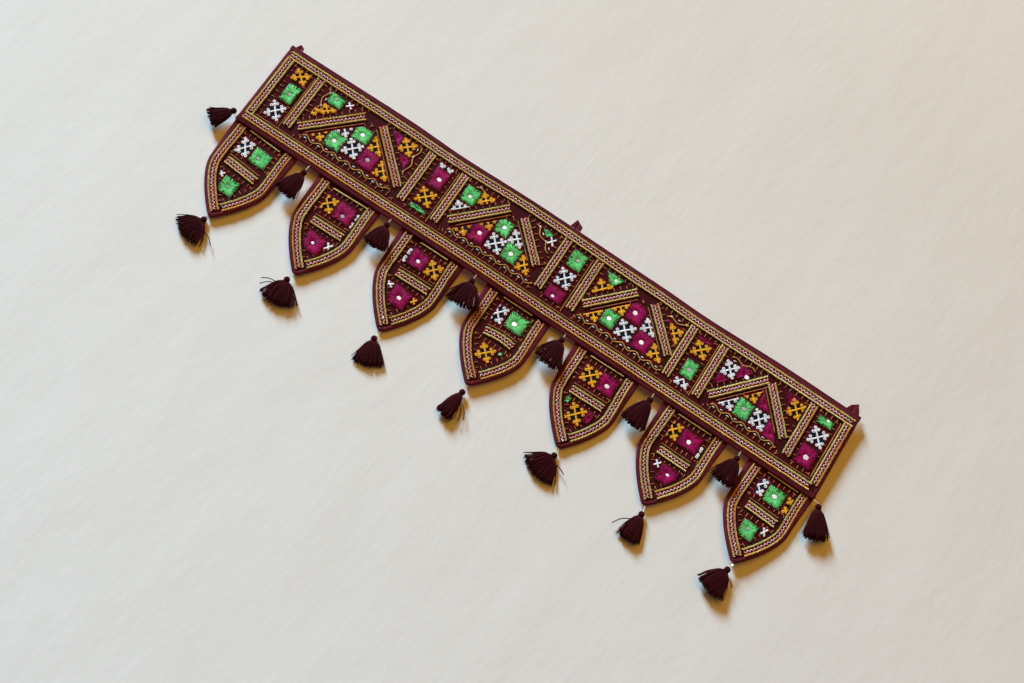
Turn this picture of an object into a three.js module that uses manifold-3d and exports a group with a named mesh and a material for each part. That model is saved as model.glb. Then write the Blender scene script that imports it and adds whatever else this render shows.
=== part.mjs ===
// A toran, the embroidered hanging for the top of a doorway: a bound band, seven leaf-shaped pennants
// and fifteen yarn tassels. Millimetres. X runs along the band, Z is up and the front faces -Y.
// The origin is the middle of the band's top edge.
import * as THREE from 'three';
import { mergeVertices } from 'three/addons/utils/BufferGeometryUtils.js';
import Module from 'manifold-3d';

const wasm = await Module();
wasm.setup();

// Driving dimensions
const CLEAR = 0.3; // between neighbouring pieces
const EASE = 0.15; // more where two curved runs lie side by side
const CLOTH = 1.4; // ground cloth with its stitches and backing
const BAND = { length: 1010, height: 144.5, lean: 7, columns: 30, rows: 4 };
const BINDING = { half: 1.8, slot: 1.0, heel: 2.6, edge: 1.3, side: 5.1, low: 7.0 };
const BRAID = { half: 6, ridge: 4.8, back: 1.3, valley: 1.9, crest: 2.8 };
const FRAME = { x: 493.5, low: -130, step: 34 }; // centre lines of the braid round the band
const PENNANT = {
  top: -138.5, show: -146, shoulder: -212, bluntHalf: 3.5, bulge: 1.56, taper: 3,
  behind: 4, settle: 50, inset: 17.6, braidTop: -147, knee: -210, wide: 8.5, narrow: 6.2, columns: 4,
};
const TASSEL = { head: 4.2, neck: 3, bell: 0.44, root: 0.3, thick: 1.35, thin: 1.05, stray: 0.8, layer: 2.6 };
const SKIRT = { locks: 5, perLock: 6 }; // a skirt has 5 locks and one more per 6 degrees of half spread
const THREAD = { radius: 0.65, half: 3 };
const BAR_STEPS = 4;

// Rise of the band's edges along its length, and the centre line of the braid under the top edge.
const EDGE = [
  { x: -505, top: -0.9, low: -1.0, braid: -14.6 },
  { x: -290, top: 1.3, low: -0.2, braid: -15.4 },
  { x: -200, top: -1.0, low: 0.3, braid: -14.2 },
  { x: -60, top: 1.5, low: 1.0, braid: -12.8 },
  { x: 150, top: 0.1, low: 0.2, braid: -14.2 },
  { x: 235, top: -1.8, low: -0.8, braid: -14.6 },
  { x: 380, top: 0.8, low: -1.8, braid: -16.0 },
  { x: 505, top: -0.2, low: -1.2, braid: -15.4 },
];

// Upright braids that part the band, and the slanted pairs between them: foot and head of each.
const DIVIDERS = [
  { x: -437.5, low: -112 },
  { x: -237, low: -111 },
  { x: -178, low: -111 },
  { x: 2.5, low: -108 },
  { x: 59, low: -109 },
  { x: 228, low: -111 },
  { x: 280, low: -113 },
  { x: 435.5, low: -112 },
];
const SLANTS = [
  { divider: 0, footX: -424, footZ: -103, headX: -351, headZ: -33 },
  { divider: 1, footX: -250, footZ: -97, headX: -322, headZ: -31 },
  { divider: 2, footX: -162, footZ: -97, headX: -96, headZ: -30 },
  { divider: 3, footX: -16, footZ: -82, headX: -71, headZ: -30 },
  { divider: 4, footX: 71, footZ: -91, headX: 130, headZ: -29 },
  { divider: 5, footX: 217, footZ: -84, headX: 160, headZ: -30 },
  { divider: 6, footX: 300, footZ: -99, headX: 360, headZ: -31 },
  { divider: 7, footX: 420, footZ: -92, headX: 367, headZ: -33 },
];

// Folded hanging tabs: where each starts and ends on the top edge, its peak and its shoulder.
const TABS = [
  { name: 'tab_left', left: -499, right: -486, peakX: -494.5, peakZ: 6.5, shoulderX: -488, shoulderZ: 4 },
  { name: 'tab_middle', left: -8, right: 10, peakX: -3.5, peakZ: 15, shoulderX: 9.4, shoulderZ: 8.5 },
  { name: 'tab_right', left: 479, right: 501, peakX: 492.5, peakZ: 14.5, shoulderX: 483, shoulderZ: 7.5 },
];

// Pennants: centre and half width at the top, the point, how far the point stands forward, the bow
// across and the turn of the point.
const PENNANTS = [
  { x: -449.6, half: 55.5, tipX: -447, tipZ: -288, curl: 5, bow: 1.4, turn: -1.2 },
  { x: -302.2, half: 54.8, tipX: -298, tipZ: -290, curl: 7, bow: -1.2, turn: 1.0 },
  { x: -156.5, half: 55.2, tipX: -151, tipZ: -290, curl: 4, bow: 1.6, turn: 0.8 },
  { x: -5.8, half: 56.2, tipX: -3, tipZ: -285, curl: 8, bow: -1.4, turn: -1.0 },
  { x: 149, half: 56, tipX: 155, tipZ: -288, curl: 5, bow: 1.2, turn: 1.4 },
  { x: 303.3, half: 55.7, tipX: 300.5, tipZ: -288.5, curl: 7, bow: -1.6, turn: -0.8 },
  { x: 451, half: 55.3, tipX: 449.5, tipZ: -287, curl: 9, bow: 1.4, turn: 1.2 },
];

// The bar of braid across each pennant: its middle, half length and slope.
const BARS = [
  { x: -452.5, z: -205, half: 26, slope: -0.09 },
  { x: -299.5, z: -207, half: 26.5, slope: -0.01 },
  { x: -154, z: -203.5, half: 26.5, slope: 0.02 },
  { x: -2.5, z: -203.5, half: 24, slope: -0.02 },
  { x: 151, z: -205, half: 27.5, slope: 0.01 },
  { x: 302, z: -208, half: 25.5, slope: -0.1 },
  { x: 450, z: -204, half: 25.5, slope: -0.1 },
];

// Side tassels hang by a short stem from the band's lower edge, tip tassels from the pennants' points:
// head, the way the skirt points in degrees from straight down towards +X, half spread, strand length.
const SIDE_TASSELS = [
  { x: -513.5, z: -137, turn: -36, spread: 20, length: 38 },
  { x: -374, z: -157, turn: -8, spread: 20, length: 45 },
  { x: -230, z: -154, turn: 3, spread: 25, length: 40 },
  { x: -81, z: -154, turn: 8, spread: 33, length: 43 },
  { x: 75, z: -153.5, turn: -2, spread: 27, length: 45 },
  { x: 229, z: -155.5, turn: -7, spread: 21, length: 48 },
  { x: 379, z: -157, turn: -4, spread: 25, length: 44 },
  { x: 515.5, z: -150, turn: 24, spread: 20, length: 49 },
];
const TIP_TASSELS = [
  { x: -451, z: -296, turn: -18, spread: 40, length: 38 },
  { x: -302, z: -302, turn: 10, spread: 38, length: 41 },
  { x: -150.5, z: -303, turn: 21, spread: 29, length: 42 },
  { x: -2.5, z: -297.5, turn: -7, spread: 15, length: 44 },
  { x: 156.5, z: -300, turn: -15, spread: 41, length: 41 },
  { x: 305.5, z: -301, turn: 2, spread: 21, length: 43 },
  { x: 448.5, z: -299.5, turn: -14, spread: 30, length: 43 },
];

// Strands that stray from a tassel's skirt.
const STRAYS = [
  { tassel: 'tassel_side_5', turn: -40, length: 32 },
  { tassel: 'tassel_side_7', turn: -33, length: 46 },
  { tassel: 'tassel_side_8', turn: 47, length: 47 },
  { tassel: 'tassel_tip_1', turn: 52, length: 40 },
  { tassel: 'tassel_tip_2', turn: -62, length: 36 },
  { tassel: 'tassel_tip_2', turn: -48, length: 38 },
  { tassel: 'tassel_tip_4', turn: 24, length: 42 },
  { tassel: 'tassel_tip_4', turn: 36, length: 40 },
  { tassel: 'tassel_tip_5', turn: 62, length: 30 },
  { tassel: 'tassel_tip_5', turn: 34, length: 42 },
  { tassel: 'tassel_tip_6', turn: -42, length: 44 },
  { tassel: 'tassel_tip_7', turn: 46, length: 24 },
];

const HALF = BAND.length / 2;
const LOW = -BAND.height;

const maroon = new THREE.MeshStandardMaterial({ color: 0x571a24, roughness: 0.85 });
const ground = new THREE.MeshStandardMaterial({ color: 0x2b0d13, roughness: 0.9 });
const gold = new THREE.MeshStandardMaterial({ color: 0xb59a52, roughness: 0.6 });
const yarn = new THREE.MeshStandardMaterial({ color: 0x2a0b15, roughness: 0.8 });
const cream = new THREE.MeshStandardMaterial({ color: 0xd8c89a, roughness: 0.7 });

const toran = new THREE.Group();

function add(name, geometry, material) {
  const mesh = new THREE.Mesh(geometry, material);
  mesh.name = name;
  toran.add(mesh);
}

// Curves and tables

function smooth(t) {
  const u = Math.min(1, Math.max(0, t));
  return u * u * (3 - 2 * u);
}

// The value of one column of a table at x, eased from row to row.
function along(rows, key, x) {
  const next = rows.findIndex((row) => row.x >= x);
  if (next === 0) return rows[0][key];
  if (next < 0) return rows[rows.length - 1][key];
  const [a, b] = [rows[next - 1], rows[next]];
  return a[key] + (b[key] - a[key]) * smooth((x - a.x) / (b.x - a.x));
}

function between(from, to, step) {
  const steps = Math.max(1, Math.round(from.distanceTo(to) / step));
  return Array.from({ length: steps + 1 }, (_, k) => from.clone().lerp(to, k / steps));
}

// Sideways vectors of a path, to its left, long enough at a corner to keep both edges parallel.
function mitres(path) {
  const normals = path.slice(1).map((p, k) => {
    const run = p.clone().sub(path[k]).normalize();
    return new THREE.Vector2(-run.y, run.x);
  });
  return path.map((_, k) => {
    const before = normals[Math.max(0, k - 1)];
    const after = normals[Math.min(normals.length - 1, k)];
    return before.clone().add(after).divideScalar(1 + before.dot(after));
  });
}

// Solids

function volume(geometry) {
  const { index, attributes: { position } } = geometry;
  const [a, b, c] = [new THREE.Vector3(), new THREE.Vector3(), new THREE.Vector3()];
  let sum = 0;
  for (let i = 0; i < index.count; i += 3) {
    a.fromBufferAttribute(position, index.getX(i));
    b.fromBufferAttribute(position, index.getX(i + 1));
    c.fromBufferAttribute(position, index.getX(i + 2));
    sum += a.dot(b.cross(c)) / 6;
  }
  return sum;
}

// Moves every point of a plain form to its place and leaves one closed body facing outwards.
function shaped(geometry, place) {
  const { position } = geometry.attributes;
  const point = new THREE.Vector3();
  for (let i = 0; i < position.count; i += 1) {
    const { x, y, z } = place(point.fromBufferAttribute(position, i));
    position.setXYZ(i, x, y, z);
  }
  geometry.deleteAttribute('normal');
  geometry.deleteAttribute('uv');
  const body = mergeVertices(geometry, 1e-4);
  if (volume(body) < 0) body.index.array.reverse();
  return body;
}

// A section carried along numbered stations. place(a, b, k) puts the section's point (a, b) at station k.
function swept(section, stations, place) {
  const outline = new THREE.Shape(section.map(([a, b]) => new THREE.Vector2(a, b)));
  const steps = stations - 1;
  const form = new THREE.ExtrudeGeometry(outline, { depth: steps, steps, bevelEnabled: false });
  return shaped(form, (p) => place(p.x, p.y, Math.round(p.z)));
}

function solid(geometry) {
  return new wasm.Manifold(new wasm.Mesh({
    numProp: 3,
    vertProperties: new Float32Array(geometry.attributes.position.array),
    triVerts: new Uint32Array(geometry.index.array),
  }));
}

function joined(geometries) {
  const { vertProperties, triVerts } = geometries.map(solid).reduce((all, next) => all.add(next)).getMesh();
  const body = new THREE.BufferGeometry();
  body.setAttribute('position', new THREE.BufferAttribute(vertProperties, 3));
  body.setIndex(new THREE.BufferAttribute(triVerts, 1));
  return body;
}

// The hung surfaces. Each takes x, z and how far a point stands in front of the cloth's middle.

function bandDepth(x, down) {
  const wave = 1.6 * Math.sin((x + 60) / 68) + 0.8 * Math.sin(x / 41 + 1);
  return 0.5 * Math.sin(x / 110) + down * (wave - BAND.lean);
}

function onBand(x, z, out) {
  const down = -z / BAND.height;
  const rise = along(EDGE, 'top', x) * (1 - down) + along(EDGE, 'low', x) * down;
  return new THREE.Vector3(x, bandDepth(x, down) - out, z + rise);
}

function pennantAxis(pennant, z) {
  return pennant.x + (pennant.tipX - pennant.x) * (PENNANT.top - z) / (PENNANT.top - pennant.tipZ);
}

// Straight sides that close in a little, then the leaf's curve to a blunt point.
function pennantHalf(pennant, z) {
  const shoulder = pennant.half - PENNANT.taper;
  if (z >= PENNANT.shoulder) {
    return pennant.half - PENNANT.taper * (PENNANT.top - z) / (PENNANT.top - PENNANT.shoulder);
  }
  const t = (PENNANT.shoulder - z) / (PENNANT.shoulder - pennant.tipZ);
  return PENNANT.bluntHalf + (shoulder - PENNANT.bluntHalf) * (1 - t ** PENNANT.bulge);
}

// A pennant leaves the back of the band's lower edge and settles to its own hang.
function pennantDepth(pennant, x, z) {
  const behind = bandDepth(x, Math.min(1, -z / BAND.height)) + PENNANT.behind;
  const across = (x - pennantAxis(pennant, z)) / pennant.half;
  const t = Math.max(0, (PENNANT.show - z) / (PENNANT.show - pennant.tipZ));
  const own = -3.4 - pennant.curl * t * t + pennant.bow * (across * across - 0.4) + pennant.turn * across * t;
  const settled = smooth((PENNANT.show - z) / PENNANT.settle);
  return behind * (1 - settled) + own * settled;
}

function onPennant(pennant) {
  return (x, z, out) => new THREE.Vector3(x, pennantDepth(pennant, x, z) - out, z);
}

// Binding: a folded strip that wraps the cloth's edge. a runs in from the edge, b to the front.
function bindingOn(path, surface, widths) {
  const { half, slot, heel, edge } = BINDING;
  const reach = 9;
  const section = [
    [0, edge], [reach, half], [reach, slot], [heel, slot],
    [heel, -slot], [reach, -slot], [reach, -half], [0, -edge],
  ];
  const sides = mitres(path);
  return swept(section, path.length, (a, b, k) => {
    const inward = a === reach ? widths(k) : a;
    return surface(path[k].x + sides[k].x * inward, path[k].y + sides[k].y * inward, b);
  });
}

// Braid: a flat strip with a raised cord along each edge.
function braidOn(path, surface) {
  const { half, ridge, back, valley, crest } = BRAID;
  const section = [[-half, back], [-ridge, crest], [0, valley], [ridge, crest], [half, back]];
  const sides = mitres(path);
  return swept(section, path.length, (a, b, k) => surface(
    path[k].x + sides[k].x * a,
    path[k].y + sides[k].y * a,
    b,
  ));
}

// The band

function makeBand() {
  const inset = BINDING.heel + CLEAR;
  const sheet = new THREE.BoxGeometry(1, 1, 1, BAND.columns, 1, BAND.rows);
  add('band_cloth', shaped(sheet, (p) => onBand(
    p.x * (BAND.length - 2 * inset),
    LOW / 2 + p.z * (BAND.height - 2 * inset),
    -p.y * CLOTH,
  )), ground);

  const topWall = (x) => -along(EDGE, 'braid', x) - BRAID.half - CLEAR - EASE;
  const topPath = between(new THREE.Vector2(HALF, 0), new THREE.Vector2(-HALF, 0), FRAME.step);
  add('binding_top', bindingOn(topPath, onBand, (k) => topWall(topPath[k].x)), maroon);

  const lowPath = between(new THREE.Vector2(-HALF, LOW), new THREE.Vector2(HALF, LOW), FRAME.step);
  add('binding_lower', bindingOn(lowPath, onBand, () => BINDING.low), maroon);

  const sideTop = -topWall(HALF) - CLEAR;
  const sideLow = LOW + BINDING.low + CLEAR;
  const left = between(new THREE.Vector2(-HALF, sideTop), new THREE.Vector2(-HALF, sideLow), FRAME.step);
  const right = between(new THREE.Vector2(HALF, sideLow), new THREE.Vector2(HALF, sideTop), FRAME.step);
  add('binding_left', bindingOn(left, onBand, () => BINDING.side), maroon);
  add('binding_right', bindingOn(right, onBand, () => BINDING.side), maroon);
}

// The braid round the band with its dividers and slants is one piece: each divider's head tucks into
// the top run, and each slant's foot tucks into its divider.
function makeBandBraid() {
  const corner = FRAME.x + BRAID.half;
  const top = between(new THREE.Vector2(-corner, 0), new THREE.Vector2(corner, 0), FRAME.step)
    .map((p) => new THREE.Vector2(p.x, along(EDGE, 'braid', p.x)));
  const low = between(new THREE.Vector2(-corner, FRAME.low), new THREE.Vector2(corner, FRAME.low), FRAME.step);
  const runs = [top, low];
  for (const x of [-FRAME.x, FRAME.x]) {
    runs.push(between(new THREE.Vector2(x, along(EDGE, 'braid', x)), new THREE.Vector2(x, FRAME.low), FRAME.step));
  }
  const tuck = 2;
  for (const { x, low: foot } of DIVIDERS) {
    const head = along(EDGE, 'braid', x) - BRAID.half + tuck;
    runs.push(between(new THREE.Vector2(x, head), new THREE.Vector2(x, foot), FRAME.step));
  }
  for (const { divider, footX, footZ, headX, headZ } of SLANTS) {
    const head = new THREE.Vector2(headX, headZ);
    const run = new THREE.Vector2(footX - headX, footZ - headZ).normalize();
    const side = Math.sign(run.x);
    // the strip's leading corner, half its width off the centre line, ends inside the divider
    const edge = DIVIDERS[divider].x - side * (BRAID.half - tuck);
    const length = (edge - headX - side * Math.abs(run.y) * BRAID.half) / run.x;
    runs.push(between(head, head.clone().addScaledVector(run, length), FRAME.step));
  }
  add('band_braid', joined(runs.map((run) => braidOn(run, onBand))), gold);
}

function makeTabs() {
  const bevel = 0.8;
  for (const { name, left, right, peakX, peakZ, shoulderX, shoulderZ } of TABS) {
    const base = (x) => along(EDGE, 'top', x) + CLEAR;
    const corners = [[left, base(left)], [right, base(right)], [shoulderX, shoulderZ], [peakX, peakZ]];
    if (shoulderX < peakX) corners.splice(2, 2, [peakX, peakZ], [shoulderX, shoulderZ]);
    const outline = new THREE.Shape(corners.map(([x, z]) => new THREE.Vector2(x, z)));
    const form = new THREE.ExtrudeGeometry(outline, {
      depth: 1, bevelEnabled: true, bevelThickness: bevel, bevelSize: bevel, bevelOffset: -bevel, bevelSegments: 1,
    });
    add(name, shaped(form, (p) => new THREE.Vector3(p.x, bandDepth(p.x, 0) + 0.5 - p.z, p.y)), maroon);
  }
}

// Pennants

// Heights of a pennant's rows, closer together round the curve.
function pennantRows(pennant) {
  const { top, shoulder } = PENNANT;
  const straight = [top, -160, -186, shoulder];
  const curve = [0.2, 0.42, 0.64, 0.85, 1].map((t) => shoulder - t * (shoulder - pennant.tipZ));
  return straight.concat(curve);
}

// The outline from the top left, round the point, to the top right.
function pennantPath(pennant) {
  const rows = pennantRows(pennant);
  const side = (sign) => rows.map((z) => new THREE.Vector2(
    pennantAxis(pennant, z) + sign * pennantHalf(pennant, z),
    z,
  ));
  return side(-1).concat(side(1).reverse());
}

function makePennant(pennant, number) {
  const surface = onPennant(pennant);
  const path = pennantPath(pennant);
  const sides = mitres(path);
  const rows = path.length / 2;

  const inset = BINDING.heel + CLEAR + EASE;
  const edge = path.map((p, k) => p.clone().addScaledVector(sides[k], inset));
  const sheet = new THREE.BoxGeometry(1, 1, 1, PENNANT.columns, 1, rows - 1);
  add(`pennant_${number}_cloth`, shaped(sheet, (p) => {
    const row = Math.round((0.5 - p.z) * (rows - 1));
    const at = edge[row].clone().lerp(edge[path.length - 1 - row], p.x + 0.5);
    return surface(at.x, at.y, -p.y * CLOTH);
  }), ground);

  // the binding's face narrows on its way down to the shoulders
  const wall = (k) => {
    const way = (PENNANT.show - path[k].y) / (PENNANT.show - PENNANT.shoulder);
    return PENNANT.wide - (PENNANT.wide - PENNANT.narrow) * smooth(way);
  };
  add(`pennant_${number}_binding`, bindingOn(path, surface, wall), maroon);

  // the braid comes down both sides, turns in at the shoulders and meets above the point
  const lines = [-1, 1].map((sign) => {
    const offset = sign * (pennant.half - PENNANT.inset);
    const start = new THREE.Vector2(pennant.x + offset, PENNANT.braidTop);
    const knee = new THREE.Vector2(pennantAxis(pennant, PENNANT.knee) + offset, PENNANT.knee);
    const bend = new THREE.Vector2(knee.x - sign * 1.5, knee.y - 9);
    const turn = new THREE.Vector2(knee.x - sign * 5.3, knee.y - 18);
    const end = new THREE.Vector2(pennant.tipX + sign * 4, pennant.tipZ + 22);
    return [...between(start, knee, 32), bend, ...between(turn, end, 22)];
  });
  add(`pennant_${number}_braid`, joined(lines.map((line) => braidOn(line, surface))), gold);

  const { x, z, half, slope } = BARS[number - 1];
  const barPath = between(
    new THREE.Vector2(x - half, z - slope * half),
    new THREE.Vector2(x + half, z + slope * half),
    2 * half / BAR_STEPS,
  );
  add(`pennant_${number}_bar`, braidOn(barPath, surface), gold);
}

// Tassels

// A tassel's own frame: s goes from one side of the skirt to the other, r down the strands.
function inTassel(tassel, s, r, depth) {
  const sine = Math.sin(THREE.MathUtils.degToRad(tassel.spread));
  const q = r / tassel.length;
  return turned(tassel, s * (TASSEL.neck * (1 - q) + r * sine), r * Math.sqrt(1 - (s * sine) ** 2), depth, q);
}

function turned(tassel, lateral, down, depth, q) {
  const turn = THREE.MathUtils.degToRad(tassel.turn);
  return new THREE.Vector3(
    tassel.x + lateral * Math.cos(turn) + down * Math.sin(turn),
    tassel.y - tassel.forward * q + depth,
    tassel.z + lateral * Math.sin(turn) - down * Math.cos(turn),
  );
}

// A strand of three sides through the given points, wide across the skirt.
function strand(points, thick, thin) {
  const section = [[-1, -0.6], [1, -0.6], [0, 1]];
  return swept(section, points.length, (a, b, k) => {
    const next = points[Math.min(points.length - 1, k + 1)];
    const last = points[Math.max(0, k - 1)];
    const across = new THREE.Vector3(last.z - next.z, 0, next.x - last.x).normalize();
    const size = k === points.length - 1 ? thin : thick;
    return points[k].clone().addScaledVector(across, a * size).add(new THREE.Vector3(0, b * size, 0));
  });
}

function tasselBell(tassel) {
  const form = new THREE.BoxGeometry(1, 1, 1, 4, 1, 2);
  return shaped(form, (p) => {
    const s = p.x * 1.9;
    const r = 1.5 + (0.5 - p.z) * tassel.length * TASSEL.bell;
    const full = (2 + 1.6 * (0.5 - p.z)) * (1 - 0.55 * s * s);
    return inTassel(tassel, s, r, 2 * p.y * full);
  });
}

function tasselHead(tassel) {
  const ball = new THREE.SphereGeometry(TASSEL.head, 7, 4);
  return shaped(ball, (p) => turned(tassel, p.x, -p.y, p.z * 0.85, 0));
}

function makeTassel(name, tassel, stem, seed) {
  const parts = [tasselHead(tassel), tasselBell(tassel)];
  const last = SKIRT.locks + Math.round(tassel.spread / SKIRT.perLock) - 1;
  for (let i = 0; i <= last; i += 1) {
    const s = (2 * i / last - 1) * 0.97;
    const uneven = Math.sin(i * 2.3 + seed);
    const layer = (i % 3 - 1) * TASSEL.layer * (1 - 0.35 * s * s);
    const reach = tassel.length * (0.95 + 0.06 * uneven);
    const bend = s + 0.04 * Math.sin(i * 1.7 + seed * 2);
    const root = inTassel(tassel, s * 0.9, tassel.length * TASSEL.root, layer * 0.35);
    const knee = inTassel(tassel, bend, tassel.length * 0.66, layer * 0.85);
    const end = inTassel(tassel, s, reach, layer);
    // only the outer locks bend enough to show it
    const points = Math.abs(s) > 0.5 ? [root, knee, end] : [root, end];
    parts.push(strand(points, TASSEL.thick, TASSEL.thin));
  }
  for (const { turn, length } of STRAYS.filter((row) => row.tassel === name)) {
    const stray = { ...tassel, turn, length };
    const arch = Math.sign(turn - tassel.turn) * length * 0.08;
    parts.push(strand([
      inTassel(tassel, Math.sign(turn - tassel.turn) * 0.7, tassel.length * 0.25, 0),
      turned(stray, arch, length * 0.6, -1, 0.6),
      turned(stray, 0, length, -1, 1),
    ], TASSEL.stray, TASSEL.stray));
  }
  if (stem) parts.push(strand([new THREE.Vector3(tassel.x, tassel.y, tassel.z), stem], THREAD.radius, THREAD.radius));
  add(name, joined(parts), yarn);
}

function makeSideTassels() {
  const lowAt = (x) => LOW + along(EDGE, 'low', x);
  SIDE_TASSELS.forEach((row, k) => {
    const outside = Math.abs(row.x) > HALF;
    const tassel = { ...row, y: outside ? -7 : -10.5, forward: outside ? 1 : 2.2 };
    const x = outside ? Math.sign(row.x) * (HALF + CLEAR) : row.x;
    const z = outside ? Math.max(row.z, LOW + 3) : lowAt(row.x) - CLEAR;
    const stem = new THREE.Vector3(x, bandDepth(Math.max(-HALF, Math.min(HALF, x)), 1), z);
    makeTassel(`tassel_side_${k + 1}`, tassel, stem, k + 1);
  });
}

// Each tip tassel hangs in a loop of thread from its pennant's point.
function makeTipTassels() {
  TIP_TASSELS.forEach((row, k) => {
    const pennant = PENNANTS[k];
    const y = pennantDepth(pennant, pennant.tipX, pennant.tipZ);
    const tassel = { ...row, y, forward: 1.5 };
    makeTassel(`tassel_tip_${k + 1}`, tassel, null, k + 10);

    const { radius, half } = THREAD;
    const top = new THREE.Vector3(pennant.tipX, y, pennant.tipZ - CLEAR - radius);
    const low = turned({ ...tassel, forward: 0 }, 0, -TASSEL.head, 0, 0);
    low.z += CLEAR + radius;
    if (top.distanceTo(low) < 1.5 * half) {
      // tied close under the point, with no room for a loop
      add(`thread_${k + 1}`, strand([top, low], radius, radius), cream);
      return;
    }
    const loop = new THREE.TorusGeometry(1, 1, 3, 8);
    add(`thread_${k + 1}`, shaped(loop, (p) => {
      // the plain ring's middle line has radius 1 and its tube radius 1
      const turn = Math.atan2(p.y, p.x);
      const out = Math.hypot(p.x, p.y) - 1;
      const middle = top.clone().lerp(low, (1 - Math.sin(turn)) / 2);
      const tall = Math.max(1.5, top.distanceTo(low) / 2);
      const wide = Math.min(half, tall);
      return new THREE.Vector3(
        middle.x + Math.cos(turn) * (wide + out * radius),
        y + p.z * radius,
        middle.z + Math.sin(turn) * out * radius,
      );
    }), cream);
  });
}

makeBand();
makeBandBraid();
makeTabs();
PENNANTS.forEach((pennant, k) => makePennant(pennant, k + 1));
makeSideTassels();
makeTipTassels();

export default toran;
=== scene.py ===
"""A toran, the embroidered hanging for the top of a doorway, worked in thread around its CAD frame.

Tables are in millimetres in the frame's own axes: X along the band, Z up from its top edge, and the
front facing -Y. A place on a cloth is a complex number, x + z j, and becomes metres in the mesh.
"""

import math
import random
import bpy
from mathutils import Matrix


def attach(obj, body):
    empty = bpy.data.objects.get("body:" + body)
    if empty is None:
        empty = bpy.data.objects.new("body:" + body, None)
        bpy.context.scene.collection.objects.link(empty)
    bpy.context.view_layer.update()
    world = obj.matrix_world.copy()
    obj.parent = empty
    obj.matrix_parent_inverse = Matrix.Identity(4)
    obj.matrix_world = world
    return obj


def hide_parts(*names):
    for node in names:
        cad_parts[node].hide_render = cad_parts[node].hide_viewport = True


bl_info = {
    "name": "Toran door hanging",
    "version": (1, 0, 0),
    "blender": (4, 5, 0),
    "location": "3D View > Sidebar > Toran",
    "description": "Sews an embroidered toran with pennants and tassels around its CAD frame",
    "category": "Add Mesh",
}

from collections import namedtuple
from functools import partial

import bmesh
import bpy
import numpy as np
from mathutils import Matrix, Vector

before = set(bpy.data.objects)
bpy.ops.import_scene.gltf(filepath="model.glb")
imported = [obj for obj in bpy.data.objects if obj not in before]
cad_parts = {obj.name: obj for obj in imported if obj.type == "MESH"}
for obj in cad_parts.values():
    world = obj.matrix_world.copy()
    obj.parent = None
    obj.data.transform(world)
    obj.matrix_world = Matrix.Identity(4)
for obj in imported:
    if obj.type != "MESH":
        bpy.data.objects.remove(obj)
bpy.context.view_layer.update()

MM = 0.001
LENGTH, HEIGHT = 1010.0, 144.5
HALF = LENGTH / 2
CLOTH = 1.3  # half of the ground cloth's thickness
FACE = 1.35  # where stitches start in front of the cloth's middle

# The hung cloths, as in the part's source

Edge = namedtuple("Edge", "x top low braid")
EDGES = [
    Edge(-505, -0.9, -1.0, -14.6),
    Edge(-290, 1.3, -0.2, -15.4),
    Edge(-200, -1.0, 0.3, -14.2),
    Edge(-60, 1.5, 1.0, -12.8),
    Edge(150, 0.1, 0.2, -14.2),
    Edge(235, -1.8, -0.8, -14.6),
    Edge(380, 0.8, -1.8, -16.0),
    Edge(505, -0.2, -1.2, -15.4),
]

DIVIDERS = [-437.5, -237, -178, 2.5, 59, 228, 281, 436.5]
DIVIDER_LOW = [-112, -111, -111, -108, -109, -111, -113, -112]

# A pair of slants leans together over each panel: foot and head of the left one, then of the right.
Slants = namedtuple("Slants", "left_foot left_head right_foot right_head")
SLANTS = [
    Slants(-424 - 103j, -351 - 33j, -250 - 97j, -322 - 31j),
    Slants(-162 - 97j, -96 - 30j, -16 - 82j, -71 - 30j),
    Slants(71 - 91j, 130 - 29j, 217 - 84j, 160 - 30j),
    Slants(296 - 100j, 360 - 31j, 422 - 93j, 367 - 33j),
]

Pennant = namedtuple("Pennant", "x half tip_x tip_z curl bow turn sway")
PENNANTS = [
    Pennant(-449.6, 55.5, -447, -288, 5, 1.4, -1.2, -1.6),
    Pennant(-302.2, 54.8, -298, -290, 7, -1.2, 1.0, -1.6),
    Pennant(-156.5, 55.2, -151, -290, 4, 1.6, 0.8, -2.0),
    Pennant(-5.8, 56.2, -3, -285, 8, -1.4, -1.0, -0.5),
    Pennant(149, 56, 155, -288, 5, 1.2, 1.4, -1.8),
    Pennant(303.3, 55.7, 300.5, -288.5, 7, -1.6, -0.8, -1.2),
    Pennant(451, 55.3, 449.5, -287, 9, 1.4, 1.2, -2.4),
]
PENNANT_TOP, PENNANT_SHOW, SHOULDER = -138.5, -146.0, -212.0
TIP_RISE = 3.2  # from the lowest spot of a pennant's point up to its sides' ends

# The bar of braid across each pennant, and the cord over it at the top: left end and right end.
Bars = namedtuple("Bars", "left right top_left top_right")
BARS = [
    Bars(-479 - 203j, -425 - 207.5j, -477 - 147.2j, -423.6 - 150j),
    Bars(-325.5 - 207.3j, -272.7 - 206.3j, -326 - 151j, -269 - 149j),
    Bars(-179.5 - 203.4j, -125 - 202.2j, -175 - 147.6j, -128.6 - 147.4j),
    Bars(-27 - 203.4j, 22 - 202j, -29.5 - 146.4j, 19.5 - 146j),
    Bars(124 - 205j, 180 - 204j, 122.7 - 148j, 178 - 147.4j),
    Bars(277 - 208j, 327.5 - 208.8j, 275.5 - 148.8j, 331.8 - 148.4j),
    Bars(425 - 203.8j, 475 - 206j, 428.6 - 147.4j, 480.5 - 148j),
]


def smooth(t):
    t = np.clip(t, 0.0, 1.0)
    return t * t * (3 - 2 * t)


def along(column, x):
    """A column of the edge table at x, eased from row to row."""
    stops = np.array([row.x for row in EDGES], float)
    values = np.array([getattr(row, column) for row in EDGES])
    k = np.clip(np.searchsorted(stops, x) - 1, 0, len(EDGES) - 2)
    t = (x - stops[k]) / (stops[k + 1] - stops[k])
    return values[k] + (values[k + 1] - values[k]) * smooth(t)


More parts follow.
